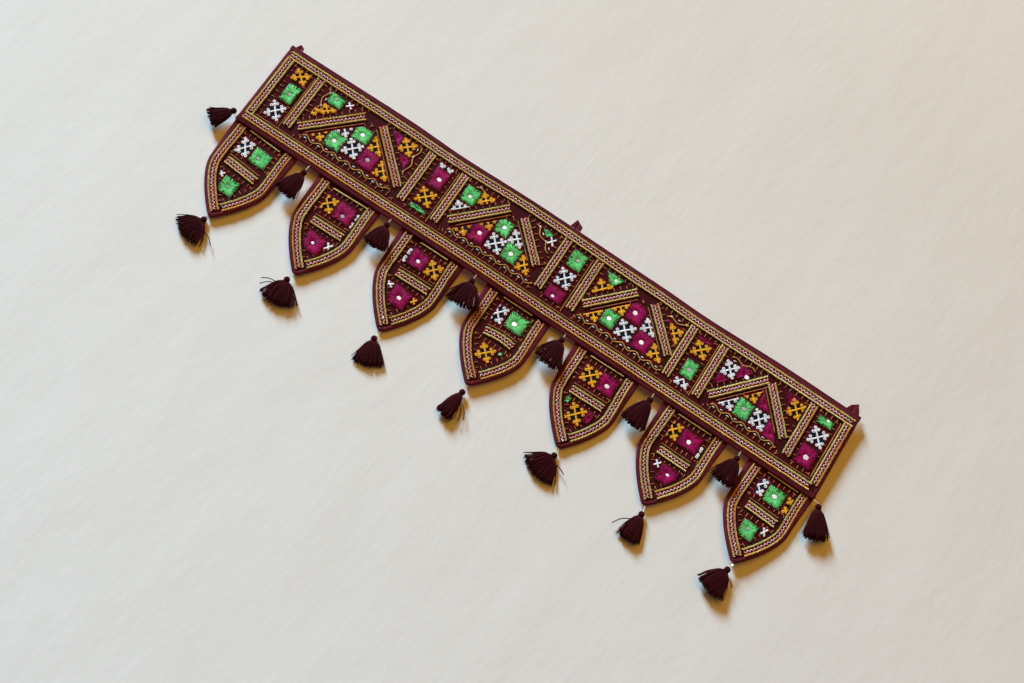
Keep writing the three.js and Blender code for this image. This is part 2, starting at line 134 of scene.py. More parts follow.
def band_depth(x, down):
    wave = 1.6 * np.sin((x + 60) / 68) + 0.8 * np.sin(x / 41 + 1)
    return 0.5 * np.sin(x / 110) + down * (wave - 7)


def pucker(x, z):
    """Small dimples that close stitching draws in the cloth."""
    return 0.2 * np.sin(x / 4.3 + 1.3 * np.sin(z / 11)) * np.sin(z / 5.1 + x / 31)


def on_band(x, z, out):
    down = -z / HEIGHT
    rise = along("top", x) * (1 - down) + along("low", x) * down
    return np.stack([x, band_depth(x, down) - out + pucker(x, z), z + rise], -1) * MM


def pennant_axis(p, z):
    down = (PENNANT_TOP - z) / (PENNANT_TOP - p.tip_z)
    return p.x + (p.tip_x - p.x) * down + p.sway * np.sin(math.pi * np.clip(down, 0, 1))


def pennant_half(p, z):
    """Half the width of a pennant: sides that close in a little, then a leaf's curve to a blunt point."""
    taper, blunt, bulge = 3.0, 3.5, 1.56
    straight = p.half - taper * (PENNANT_TOP - z) / (PENNANT_TOP - SHOULDER)
    t = np.clip((SHOULDER - z) / (SHOULDER - p.tip_z), 0, 1)
    leaf = blunt + (p.half - taper - blunt) * (1 - t**bulge)
    return np.where(z >= SHOULDER, straight, leaf)


def on_pennant(p):
    def place(x, z, out):
        behind = band_depth(x, np.minimum(1, -z / HEIGHT)) + 4
        across = (x - pennant_axis(p, z)) / p.half
        t = np.maximum(0, (PENNANT_SHOW - z) / (PENNANT_SHOW - p.tip_z))
        own = -3.4 - p.curl * t * t + p.bow * (across * across - 0.4) + p.turn * across * t
        settled = smooth((PENNANT_SHOW - z) / 50)
        depth = behind * (1 - settled) + own * settled
        return np.stack([x, depth - out + pucker(x, z), z + 0 * x], -1) * MM

    return place


# Settings

def srgb(red, green, blue):
    """A screen colour of 0 to 255 as linear light."""
    parts = [c / 255 for c in (red, green, blue)]
    return tuple(c / 12.92 if c < 0.04045 else ((c + 0.055) / 1.055) ** 2.4 for c in parts)


def colour(name, about, red, green, blue):
    return bpy.props.FloatVectorProperty(
        name=name, description=about, subtype="COLOR", size=3, min=0, max=1, default=srgb(red, green, blue)
    )


def length(name, about, metres):
    return bpy.props.FloatProperty(
        name=name, description=about, subtype="DISTANCE", unit="LENGTH", default=metres, min=0
    )


class TORAN_PG_colours(bpy.types.PropertyGroup):
    """Colours of the cloths, threads and yarn."""

    binding: colour("Binding", "Plain maroon strips round every edge", 98, 30, 42)
    ground: colour("Ground", "Dark cloth under the stitches", 66, 12, 17)
    lining: colour("Lining", "Plain cloth at the back", 84, 30, 38)
    khaki: colour("Khaki cord", "Twisted cord of the braids", 230, 206, 124)
    gold: colour("Gold cord", "Warmer cord of the braids", 230, 178, 86)
    crimson: colour("Crimson tape", "Tape between a braid's cords", 132, 18, 36)
    blush: colour("Zigzag", "Zigzag along a braid's tape", 246, 214, 220)
    green: colour("Green floss", "Satin squares", 102, 212, 120)
    magenta: colour("Magenta floss", "Satin squares", 156, 0, 84)
    white: colour("White cotton", "Curled crosses", 240, 244, 252)
    navy: colour("Navy cotton", "Ground of the white crosses", 18, 24, 44)
    orange: colour("Orange cotton", "Curled crosses", 246, 170, 38)
    # Black thread also paints shade beside the braids and under the pennants' top cords.
    black: colour("Black cotton", "Ground of the orange crosses", 26, 20, 18)
    rust: colour("Rust cotton", "Outlines and ticks", 194, 120, 70)
    ochre: colour("Ochre cotton", "Wavy lines", 212, 154, 80)
    cream: colour("Cream thread", "Threads that hold the tassels", 222, 208, 164)
    yarn: colour("Tassel yarn", "Very dark maroon worsted", 60, 9, 15)


class TORAN_PG_sizes(bpy.types.PropertyGroup):
    """Sizes of the threads and the room."""

    cord: length("Cord", "Width of a braid's twisted cord", 0.0038)
    twist: length("Twist", "Length of a cord along one turn", 0.0022)
    zigzag: length("Zigzag", "Length of one stroke along the tape", 0.0028)
    tick: length("Tick", "Length of the short strokes round each field", 0.0068)
    yarn: length("Yarn", "Thickness of a tassel's strand", 0.0014)
    strands: bpy.props.IntProperty(
        name="Strands", description="Strands in a tassel's skirt", default=160, min=12
    )
    wall: length("Wall", "From the band's top edge to the wall behind it", 0.010)
    lean: bpy.props.FloatProperty(
        name="Lean", description="Turn of the wall towards the pennants' points", unit="ROTATION",
        default=0.048,
    )
    floor: length("Floor", "From the band's top edge down to the floor", 2.0)


def colours():
    return bpy.context.scene.toran_colours


def sizes():
    return bpy.context.scene.toran_sizes


# Materials

def feed(tree, socket, value):
    """Links a socket to another one, or sets its value."""
    if isinstance(value, bpy.types.NodeSocket):
        tree.links.new(value, socket)
    else:
        socket.default_value = value


def put(tree, kind, settings=(), **values):
    """A node with its settings, and its inputs set or linked by name, with _ for a space."""
    made = tree.nodes.new(kind)
    for key, value in dict(settings).items():
        setattr(made, key, value)
    for key, value in values.items():
        feed(tree, made.inputs[key.replace("_", " ")], value)
    return made


def maths(tree, operation, *values):
    made = put(tree, "ShaderNodeMath", {"operation": operation})
    for socket, value in zip(made.inputs, values):
        feed(tree, socket, value)
    return made.outputs[0]


def sums(tree):
    """Addition and multiplication in a tree, each of two sockets or numbers."""
    return partial(maths, tree, "ADD"), partial(maths, tree, "MULTIPLY")


def mixed(tree, factor, a, b):
    """Colour a where factor is 0, and b where it is 1."""
    made = put(tree, "ShaderNodeMix", {"data_type": "RGBA"})
    for k, value in ((0, factor), (6, a), (7, b)):
        feed(tree, made.inputs[k], value)
    return made.outputs[2]


def either(tree, factor, a, b):
    """Shader a where factor is 0, and b where it is 1."""
    made = tree.nodes.new("ShaderNodeMixShader")
    for socket, value in zip(made.inputs, (factor, a, b)):
        feed(tree, socket, value)
    return made.outputs[0]


def object_place(tree):
    return put(tree, "ShaderNodeTexCoord").outputs["Object"]


def thread_place(tree):
    """Along and across a thread, in millimetres."""
    uv = put(tree, "ShaderNodeUVMap", {"uv_map": "thread"}).outputs[0]
    return put(tree, "ShaderNodeSeparateXYZ", Vector=uv).outputs[:2]


def noise(tree, place, scale, detail=2.0):
    return put(tree, "ShaderNodeTexNoise", Vector=place, Scale=scale, Detail=detail).outputs["Fac"]


def empty_material(name):
    """A new material, and its node tree with nothing in it."""
    made = bpy.data.materials.new(name)
    made.use_nodes = True
    made.node_tree.nodes.clear()
    return made, made.node_tree


def principled(tree, **values):
    """A surface with the given looks, as the material's output."""
    shader = put(tree, "ShaderNodeBsdfPrincipled", **values)
    put(tree, "ShaderNodeOutputMaterial", Surface=shader.outputs[0])


def group_tree(name, fine):
    """An empty group: two colours and a measure go in, and Color and Normal come out."""
    tree = bpy.data.node_groups.new(name, "ShaderNodeTree")
    for label in ("Light", "Dark"):
        tree.interface.new_socket(label, in_out="INPUT", socket_type="NodeSocketColor")
    tree.interface.new_socket(fine, in_out="INPUT", socket_type="NodeSocketFloat")
    tree.interface.new_socket("Color", in_out="OUTPUT", socket_type="NodeSocketColor")
    tree.interface.new_socket("Normal", in_out="OUTPUT", socket_type="NodeSocketVector")
    return tree, tree.nodes.new("NodeGroupInput").outputs, tree.nodes.new("NodeGroupOutput").inputs


def finish_group(tree, given, out, factor, height, strength):
    """Feeds a group's outputs: its colours mixed by a factor, and a bump from a height."""
    factor = put(tree, "ShaderNodeClamp", Value=factor).outputs[0]
    feed(tree, out["Color"], mixed(tree, factor, given["Dark"], given["Light"]))
    bump = put(tree, "ShaderNodeBump", Strength=strength, Distance=0.0002, Height=height)
    feed(tree, out["Normal"], bump.outputs[0])


def yarn_group():
    """Plied thread: slanting plies with painted shade in the grooves between them, each stitch a little lighter
    or darker, and slow changes of tone.
    """
    name = "Plied thread"
    if name in bpy.data.node_groups:
        return bpy.data.node_groups[name]
    tree, given, out = group_tree(name, "Ply")
    add, times = sums(tree)
    run, across = thread_place(tree)
    lean = add(maths(tree, "DIVIDE", run, given["Ply"]), across)
    ply = maths(tree, "MULTIPLY_ADD", maths(tree, "SINE", times(lean, math.tau)), 0.5, 0.5)
    shade = put(tree, "ShaderNodeAttribute", {"attribute_name": "shade"}).outputs["Fac"]
    slow_blend = noise(tree, object_place(tree), 45.0)
    # Painted shade: the ply term darkens the colour in the grooves between the plies.
    factor = add(times(shade, 0.6), times(ply, 0.22))
    factor = add(factor, times(maths(tree, "SUBTRACT", slow_blend, 0.4), 0.8))
    finish_group(tree, given, out, factor, ply, 0.5)
    return tree


def weave_group():
    """Plain weave: warp and weft over and under each other with painted shade where they dip, slubs, and slow
    changes of tone.
    """
    name = "Plain weave"
    if name in bpy.data.node_groups:
        return bpy.data.node_groups[name]
    tree, given, out = group_tree(name, "Pitch")
    add, times = sums(tree)
    warp, weft = (
        maths(tree, "SINE", times(maths(tree, "DIVIDE", way, given["Pitch"]), math.pi))
        for way in thread_place(tree)
    )
    cross = maths(tree, "MULTIPLY_ADD", times(warp, weft), 0.5, 0.5)
    place = object_place(tree)
    slubs, slow_blend = noise(tree, place, 420.0, 3.0), noise(tree, place, 24.0, 3.0)
    # Painted shade: the cross term darkens the colour where warp and weft dip under each other.
    factor = add(times(cross, 0.3), times(slubs, 0.35))
    factor = add(factor, times(maths(tree, "SUBTRACT", slow_blend, 0.35), 0.9))
    finish_group(tree, given, out, factor, add(cross, times(slubs, 0.8)), 0.45)
    return tree


def shaded(rgb, by):
    return tuple(min(1.0, c * by) for c in rgb) + (1.0,)


def fabric_material(name, group, rgb, fine, light=1.2, dark=0.55, rough=0.85, sheen=0.04):
    """A cloth or thread finish: a pattern group feeds colour and normal, and the rest is constant."""
    if name in bpy.data.materials:
        return bpy.data.materials[name]
    made, tree = empty_material(name)
    pattern = put(tree, "ShaderNodeGroup", {"node_tree": group})
    pattern.inputs["Light"].default_value = shaded(rgb, light)
    pattern.inputs["Dark"].default_value = shaded(rgb, dark)
    pattern.inputs[2].default_value = fine
    principled(
        tree, Base_Color=pattern.outputs["Color"], Normal=pattern.outputs["Normal"], Roughness=rough,
        Sheen_Weight=sheen, Sheen_Roughness=0.5, Specular_IOR_Level=0.1,
    )
    return made


FLOSS = ("green", "magenta")
PALE = ("khaki", "gold", "blush", "white", "orange", "cream")
PLY, PITCH = 0.9, 0.55  # the length of a ply's turn along a thread, and from yarn to yarn of a weave


def yarn(name):
    """The finish of one of the threads, named as in the colour settings."""
    light, dark = (1.35, 0.78) if name in PALE else (1.25, 0.52)
    rough = 0.5 if name in FLOSS else 0.8
    sheen = 0.0 if name == "yarn" else 0.04
    rgb = tuple(getattr(colours(), name))
    return fabric_material(f"{name} thread", yarn_group(), rgb, PLY, light, dark, rough, sheen)


def cloth(name):
    """The finish of one of the plain cloths, named as in the colour settings."""
    sheen = 0.0 if name == "ground" else 0.04
    rgb = tuple(getattr(colours(), name))
    return fabric_material(f"{name} cloth", weave_group(), rgb, PITCH, sheen=sheen)


def mirror_material(name, grey, rough):
    """Hand-cut mirror glass: small ripples, and specks where the silvering has gone; grey sets the brightness of
    its painted reflection.
    """
    if name in bpy.data.materials:
        return bpy.data.materials[name]
    made, tree = empty_material(name)
    place = object_place(tree)
    ripple, specks = noise(tree, place, 260.0), noise(tree, place, 900.0)
    worn = maths(tree, "MULTIPLY", maths(tree, "GREATER_THAN", specks, 0.66), 0.5)
    clean, bare = (grey * 0.97, grey * 0.98, grey, 1), (grey * 0.6, grey * 0.58, grey * 0.55, 1)
    bump = put(tree, "ShaderNodeBump", Strength=0.3, Distance=0.0004, Height=ripple)
    base = mixed(tree, worn, clean, bare)
    principled(tree, Base_Color=base, Normal=bump.outputs[0], Metallic=0.05, Roughness=rough)
    return made


def mirror_materials():
    """The finishes of a mirror that catches the light and of one that doesn't: a painted bright reflection and a
    painted dark one.
    """
    return [mirror_material("bright mirror", 1.0, 0.25), mirror_material("grey mirror", 0.42, 0.3)]


# Mesh making

def new_object(name, data):
    made = bpy.data.objects.new(name, data)
    bpy.context.scene.collection.objects.link(made)
    return made


def piece(name, mesh, materials, nodes=()):
    """A finished piece of the object, riding on its one body."""
    for material in materials:
        mesh.materials.append(material)
    made = new_object(name, mesh)
    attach(made, "root")
    if nodes:
        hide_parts(*nodes)
    return made


def made_mesh(name, bm, smooth_faces=True):
    mesh = bpy.data.meshes.new(name)
    bm.to_mesh(mesh)
    bm.free()
    mesh.polygons.foreach_set("use_smooth", [smooth_faces] * len(mesh.polygons))
    return mesh


def copies(form, count):
    """One mesh of count copies of a form, made by doubling."""
    whole, block = bmesh.new(), form.copy()
    while count:
        if count & 1:
            whole.from_mesh(block)
        count >>= 1
        if count:
            twice = bmesh.new()
            twice.from_mesh(block)
            twice.from_mesh(block)
            twice.to_mesh(block)
            twice.free()
    bpy.data.meshes.remove(block)
    return made_mesh(form.name, whole)


def places(mesh):
    flat = np.empty(len(mesh.vertices) * 3)
    mesh.vertices.foreach_get("co", flat)
    return flat.reshape(-1, 3)


def set_points(mesh, points, uv, shade):
    """Puts a mesh's points in place, with its thread coordinates in mm and each thread's shade."""
    mesh.vertices.foreach_set("co", np.ascontiguousarray(points, dtype=np.float32).ravel())
    corners = np.empty(len(mesh.loops), dtype=np.int32)
    mesh.loops.foreach_get("vertex_index", corners)
    layer = mesh.uv_layers.get("thread") or mesh.uv_layers.new(name="thread")
    layer.data.foreach_set("uv", np.ascontiguousarray(uv[corners], dtype=np.float32).ravel())
    tone = mesh.attributes.get("shade") or mesh.attributes.new("shade", "FLOAT", "POINT")
    tone.data.foreach_set("value", np.ascontiguousarray(shade, dtype=np.float32))
    mesh.update()


def stitch_form():
    """A stitch along Z from -1 to 1: four sides, flat underneath, with short drawn-in ends."""
    bm = bmesh.new()
    turned = Matrix.Rotation(math.pi / 4, 4, "Z")
    bmesh.ops.create_uvsphere(bm, u_segments=4, v_segments=3, radius=1, matrix=turned)
    for v in bm.verts:
        x, y, z = v.co
        if abs(z) < 0.9:
            wide = 1 if y < 0 else 0.72
            v.co = Vector((math.copysign(wide, x), math.copysign(1, y), math.copysign(0.8, z)))
    return made_mesh("stitch", bm)


def tube_form(sides, steps):
    """A tube whose rings lie at Z 0, 1, 2 and so on, closed at both ends."""
    bm = bmesh.new()
    bmesh.ops.create_circle(bm, cap_ends=True, radius=1, segments=sides)
    end = bm.faces[:]
    for _ in range(steps):
        moved = bmesh.ops.extrude_face_region(bm, geom=end)["geom"]
        end = [f for f in moved if isinstance(f, bmesh.types.BMFace)]
        bmesh.ops.translate(bm, verts=list({v for f in end for v in f.verts}), vec=(0, 0, 1))

    def is_inner(face):
        heights = [v.co.z for v in face.verts]
        return len(heights) == sides and min(heights) > 0.5 and max(heights) - min(heights) < 0.1

    inner = [f for f in bm.faces if f not in end and is_inner(f)]
    bmesh.ops.delete(bm, geom=inner, context="FACES_ONLY")
    bmesh.ops.recalc_face_normals(bm, faces=bm.faces)
    return made_mesh("tube", bm)


def unit(vectors):
    return vectors / (np.linalg.norm(vectors, axis=2, keepdims=True) + 1e-12)


def strands(paths, radii, shades, sides=4):
    """One mesh of threads in the air. paths is threads by stations by 3, in metres."""
    count, stations = paths.shape[:2]
    form = tube_form(sides, stations - 1)
    local = places(form)
    mesh = copies(form, count)
    ring = np.rint(local[:, 2]).astype(int)
    way = unit(np.gradient(paths, axis=1))
    across = unit(np.cross(way, np.array([0.0, 1.0, 0.0])))
    front = np.cross(way, across)
    aside = across[:, ring] * local[:, 0:1] + front[:, ring] * local[:, 1:2]
    spot = paths[:, ring] + radii[:, ring, None] * aside
    lengths = np.cumsum(np.linalg.norm(np.diff(paths, axis=1), axis=2), 1)
    run = np.concatenate([np.zeros((count, 1)), lengths], 1)
    uv = np.stack([run[:, ring] / MM, np.broadcast_to(local[:, 0], (count, len(ring)))], -1)
    set_points(mesh, spot.reshape(-1, 3), uv.reshape(-1, 2), np.repeat(shades, len(ring)))
    bpy.data.meshes.remove(form)
    return mesh


def joined(name, meshes, smooth_faces=True):
    bm = bmesh.new()
    for mesh in meshes:
        bm.from_mesh(mesh)
        bpy.data.meshes.remove(mesh)
    return made_mesh(name, bm, smooth_faces)


def finish_all(mesh, index):
    """Gives every face of a mesh the material with this index."""
    mesh.polygons.foreach_set("material_index", [index] * len(mesh.polygons))


def swept(name, points, section, surface):
    """A strip along a path on a cloth.

    section is a loop of (in from the path, out from the cloth), and the first of each pair is a number
    or an array with one for each point of the path.
    """
    bm = bmesh.new()
    steps, around = len(points) - 1, len(section)
    bmesh.ops.create_grid(bm, x_segments=steps, y_segments=around, size=0.5)
    mesh = made_mesh(name, bm)
    local = places(mesh)
    k = np.rint((local[:, 0] + 0.5) * steps).astype(int)
    j = np.rint((local[:, 1] + 0.5) * around).astype(int) % around
    path = np.array(points)
    way = np.diff(path)
    way = way / np.abs(way)
    before, after = np.append(way[0], way), np.append(way, way[-1])
    normal = (1j * before + 1j * after) / (1 + dot(before, after))
    inward = np.stack([np.broadcast_to(wide, steps + 1) for wide, _ in section], 1)
    out = np.array([high for _, high in section])
    spot = path[k] + normal[k] * inward[k, j]
    run = np.append(0, np.cumsum(np.abs(np.diff(path))))
    girth = np.append(0, np.cumsum(np.hypot(np.diff(inward[0]), np.diff(out))))
    uv = np.stack([run[k], girth[j]], -1)
    set_points(mesh, surface(spot.real, spot.imag, out[j]), uv, np.full(len(k), 0.5))
    bm = bmesh.new()
    bm.from_mesh(mesh)
    bmesh.ops.remove_doubles(bm, verts=bm.verts, dist=1e-6)
    bmesh.ops.holes_fill(bm, edges=[e for e in bm.edges if e.is_boundary])
    bmesh.ops.recalc_face_normals(bm, faces=bm.faces)
    bm.to_mesh(mesh)
    bm.free()
    mesh.polygons.foreach_set("use_smooth", [True] * len(mesh.polygons))
    return mesh


def ball_mesh(around, rings, radius, place, shade):
    """A ball. place turns its own x, y and z in mm into points."""
    bm = bmesh.new()
    bmesh.ops.create_uvsphere(bm, u_segments=around, v_segments=rings, radius=radius)
    mesh = made_mesh("ball", bm)
    local = places(mesh)
    set_points(mesh, place(*local.T), local[:, :2], np.full(len(local), shade))
    return mesh


def sheet_mesh(name, columns, rows, place):
    """A cloth's middle surface. place turns numbers from 0 to 1, across and up, into points and mm."""
    bm = bmesh.new()
    bmesh.ops.create_grid(bm, x_segments=columns, y_segments=rows, size=0.5)
    mesh = made_mesh(name, bm)
    local = places(mesh)
    points, uv = place(local[:, 0] + 0.5, local[:, 1] + 0.5)
    set_points(mesh, points, uv, np.full(len(local), 0.5))
    return mesh


def thicken(made, thickness):
    """Gives a sheet its thickness in mm, with its second finish at the back."""
    solid = made.modifiers.new("Cloth", "SOLIDIFY")
    solid.thickness = thickness * MM
    solid.offset = 0
    solid.material_offset = 1
    solid.material_offset_rim = 1


# Plane geometry on a cloth

def dot(a, b):
    return (a.conjugate() * b).real


def towards(a, b):
    """The direction from a to b, of length 1."""
    return (b - a) / abs(b - a)


def rectangle(left, right, low, top):
    return [complex(left, low), complex(right, low), complex(right, top), complex(left, top)]


def edges_of(field):
    return list(zip(field, field[1:] + field[:1]))


def sides_of(field):
    """Each side of a field as a point and a direction, with the field on its left."""
    return [(a, towards(a, b)) for a, b in edges_of(field) if abs(b - a) > 1e-6]


def cut(field, point, inward):
    """What of a convex field lies on the side of point that inward looks to."""
    kept = []
    for a, b in edges_of(field):
        here, there = dot(a - point, inward), dot(b - point, inward)
        if here >= 0:
            kept.append(a)
        if here * there < 0:
            kept.append(a + (b - a) * here / (here - there))
    return kept


def overlap(field, other, by=0.0):
    """What of a convex field lies inside another one that is drawn in by so much."""
    for a, way in sides_of(other):
        if field:
            field = cut(field, a + 1j * way * by, 1j * way)
    return field


def drawn_in(field, by):
    return overlap(field, field, by)


def trimmed(field, a, b):
    """The stretch of a straight stitch inside a convex field, or None."""
    first, last = 0.0, 1.0
    for point, way in sides_of(field):
        here, there = dot(a - point, 1j * way), dot(b - point, 1j * way)
        if here < 0 and there < 0:
            return None
        if here < 0:
            first = max(first, here / (here - there))
        elif there < 0:
            last = min(last, here / (here - there))
    return (a + (b - a) * first, a + (b - a) * last) if first < last else None


def inside(field, point):
    return all(dot(point - a, 1j * way) >= 0 for a, way in sides_of(field))


def area_of(field):
    return sum((a.conjugate() * b).imag for a, b in edges_of(field)) / 2


def spaced(start, end, count):
    """Points at even steps from start to end."""
    return [start + (end - start) * t for t in np.linspace(0, 1, count)]


def paced(points, pitch):
    """Places at an even pitch along a path, each with the path's direction there."""
    found, left = [], pitch / 2
    for a, b in zip(points, points[1:]):
        run = abs(b - a)
        if run < 1e-9:
            continue
        way = (b - a) / run
        while left <= run:
            found.append((a + way * left, way))
            left += pitch
        left -= run
    return found


def wavy(start, end, wave, high):
    """A wavy line from start to end, with its wave's length and half its height."""
    run, way = abs(end - start), towards(start, end)
    steps = max(8, int(run / 1.5))
    gone = [run * k / steps for k in range(steps + 1)]
    return [start + way * (at + 1j * high * math.sin(math.tau * at / wave)) for at in gone]


# Needlework

# Across a braid, from its middle: the cords, the black threads beside them, which are also painted shade at the
# cords' feet, and the zigzag's points.
CORD_AT, SHADE_AT, ZIGZAG_AT = 4.8, 7.1, 2.0
ODD_STRANDS = ("gold", "khaki", "cream")
FAR = 999.0  # beyond every cloth
ARM = 2.8  # the width of a cross's arm
WHOLE = 26.0  # the size of a whole cross
# The side on which a square is cut off, so that its cross is centred further that way.
CUT_OFF = {"left": 1 + 0j, "right": -1 + 0j, "lower": 1j, "upper": -1j}


class Needlework:
    """Stitches worked on one cloth, gathered until they are made a piece."""

    def __init__(self, surface, seed):
        self.surface = surface
        self.draw = random.Random(seed)
        self.rows, self.yarns, self.mirrors = [], [], []

    def stitch(self, a, b, name, half=0.5, lift=0.0, high=0.4, within=None):
        """One stitch from a to b: half its width, how far it starts over the cloth, half its height."""
        if within is not None:
            ends = trimmed(within, a, b)
            if ends is None:
                return
            a, b = ends
        if abs(b - a) > 0.5:
            self.rows.append((a.real, a.imag, b.real, b.imag, half, FACE + lift, high, self.draw.random()))
            self.yarns.append(name)

    def stem(self, points, name, half=0.5, lift=0.1, high=0.45, pitch=2.0, turn=1, offset=0.0):
        """A twisted line of short stitches that lean across the path and lap each other."""
        for at, way in paced(points, pitch):
            at += 1j * way * offset
            reach = way * pitch * 0.72 + 1j * way * half * 0.85 * turn
            self.stitch(at - reach, at + reach, name, half, lift, high)

    def running(self, points, name, dash, gap, half, lift):
        """A line of dashes with gaps between them."""
        for at, way in paced(points, dash + gap):
            self.stitch(at - way * dash / 2, at + way * dash / 2, name, half, lift)

    def braid(self, points, names):
        """Cords along both edges of a tape, a zigzag between them, and black threads beside them that are also
        painted shade.
        """
        wide, twist = sizes().cord / MM / 2, sizes().twist / MM
        for side, name in zip((1, -1), names):
            for at, way in paced(points, twist):
                at += 1j * way * (side * CORD_AT + self.draw.uniform(-0.25, 0.25))
                aside = 1j * way * wide * 0.84 * side * self.draw.uniform(0.85, 1.1)
                reach = way * twist * 0.42 + aside
                strand = name if self.draw.random() < 0.82 else self.draw.choice(ODD_STRANDS)
                self.stitch(at - reach, at + reach, strand, twist * 0.27, 0.45, 0.85)
        # Black thread beside each cord, also painted shade along the cord's foot.
        for side in (1, -1):
            self.stem(points, "black", 0.75, -0.25, 0.4, 2.4, -side, side * SHADE_AT)
        ends = []
        for k, (at, way) in enumerate(paced(points, sizes().zigzag / MM)):
            at += way * self.draw.uniform(-0.4, 0.4)
            side = 1 if k % 2 else -1
            ends.append(at + 1j * way * side * ZIGZAG_AT * self.draw.uniform(0.7, 1.15))
        for a, b in zip(ends, ends[1:]):
            self.stitch(a, b, "blush", 0.45, 0.75, 0.45)

    def fill(self, field, name, pitch=1.5, upright=True, lift=-0.15):
        """Laid threads over a whole field."""
        xs = [p.real if upright else p.imag for p in field]
        for k in range(int((max(xs) - min(xs)) / pitch) + 1):
            at = min(xs) + (k + 0.5) * pitch
            a, b = complex(at, -FAR), complex(at, FAR)
            if not upright:
                a, b = complex(-FAR, at), complex(FAR, at)
            self.stitch(a, b, name, pitch * 0.62, lift, 0.3, field)

    def satin(self, field, name, centre, rim):
        """Floss that radiates from a mirror, or from the field's middle, to a ragged, notched edge."""
        self.fill(field, name, 1.6, self.draw.random() < 0.5, -0.35)
        border = [
            (at, abs(at - centre), towards(centre, at)) for at, _ in paced(field + field[:1], 0.95)
        ]
        for at, reach, out in border:
            outer = at + out * self.draw.uniform(-0.3, 1.0) * 0.9
            inner = centre + out * max(rim * 0.8, reach * self.draw.uniform(0.12, 0.3))
            self.stitch(outer, inner, name, 0.5, self.draw.uniform(0.1, 0.3), 0.42)
        after = 0
        for k, (at, reach, out) in enumerate(border):
            if k >= after:
                after = k + self.draw.choice((2, 3, 3, 4))
                notch = min(self.draw.uniform(1.4, 5.6), 0.38 * reach)
                self.stitch(at + out, at - out * notch, "ground_dark", 0.5, 0.92, 0.22)

    def stroke(self, a, b, name, field):
        """One arm of a cross, of short stitches laid across it."""
        way = towards(a, b)
        for at, _ in paced([a, b], 1.15):
            side = 1j * way * ARM * self.draw.uniform(0.44, 0.62) + way * self.draw.uniform(0.2, 0.5)
            self.stitch(at - side, at + side, name, 0.66, 0.35, 0.5, field)

    def curl(self, at, name, field):
        """A small round end of a cross: a loop of short stitches about an open eye."""
        lean, count = self.draw.uniform(0, math.tau), 6
        for k in range(count):
            turn = lean + k * math.tau / count
            spoke = complex(math.cos(turn), math.sin(turn))
            spot, reach = at + spoke * 1.65, 1j * spoke * 1.15
            self.stitch(spot - reach, spot + reach, name, 0.72, 0.5, 0.5, field)

    def crosses(self, field, name, under, centre, wide, high):
        """Two long diagonals, and where there's room, three curls at each of their four ends."""
        self.fill(field, under)
        small = min(wide, high) < 15 and max(wide, high) < 17
        for side in (1, -1):
            far = complex(wide / 2, side * high / 2)
            self.stroke(centre - 0.8 * far, centre + 0.8 * far, name, field)
            for end in () if small else (-1, 1):
                middle = centre + end * 0.54 * far
                arm = far.conjugate() * 0.21
                self.stroke(middle - arm, middle + arm, name, field)
                for lobe in (middle - arm, middle + arm, centre + end * 0.78 * far):
                    drift = complex(self.draw.uniform(-0.4, 0.4), self.draw.uniform(-0.4, 0.4))
                    self.curl(lobe + drift, name, field)

    def patch(self, row, field):
        """One square of the patchwork, cut by the field that it stands in, or None if it's too small."""
        wide, high, centre = row.wide, row.high, complex(row.x, row.z)
        low, top = row.z - high / 2, row.z + high / 2
        shape = rectangle(row.x - wide / 2, row.x + wide / 2, low, top)
        if row.form == "wedge":
            shape = [complex(row.x, low), shape[2], shape[3]]
        shape = overlap(shape, field)
        if len(shape) < 3 or area_of(shape) < 12:
            return None
        outline = drawn_in(shape, -0.9) or shape
        self.stem(outline + outline[:1], "crimson", 0.5, 0.0, 0.35, 2.6)
        if row.name in FLOSS:
            centre, rim = sum(shape) / len(shape), 0.6
            if row.mirror:
                x, z, size, bright = row.mirror
                self.mirrors.append((complex(x, z), size, bright))
                rim = size / 2
                if inside(drawn_in(shape, 0.5) or shape, complex(x, z)):
                    centre = complex(x, z)
            self.satin(shape, row.name, centre, rim)
        else:
            under = "navy" if row.name == "white" else "black"
            side = CUT_OFF.get(row.form, 0j)
            centre += complex(side.real * (wide - WHOLE) / 2, side.imag * (high - WHOLE) / 2)
            wide, high = WHOLE if side.real else wide, WHOLE if side.imag else high
            self.crosses(shape, row.name, under, centre, wide, high)
        return shape

    def patchwork(self, rows, field):
        """Works the squares of a field, and returns the shapes of those that have room."""
        return [shape for shape in (self.patch(row, field) for row in rows) if shape]

    def ticks(self, field, taken, gap=9.6):
        """Short strokes that stand on the sides of a field, where no patch lies."""
        room = drawn_in(field, 0.2)
        for a, b in edges_of(field):
            for at, way in paced([a, b], gap):
                at += way * self.draw.uniform(-0.8, 0.8)
                foot = at + 1j * way * 0.8
                tall = sizes().tick / MM * self.draw.uniform(0.8, 1.1)
                head = foot + 1j * way * tall + way * self.draw.uniform(-0.9, 0.9)
                if any(inside(patch, head) for patch in taken):
                    head = foot + (head - foot) * 0.55
                if not any(inside(patch, head) for patch in taken):
                    self.stitch(foot, head, "rust", 0.52, 0.1, 0.45, room)

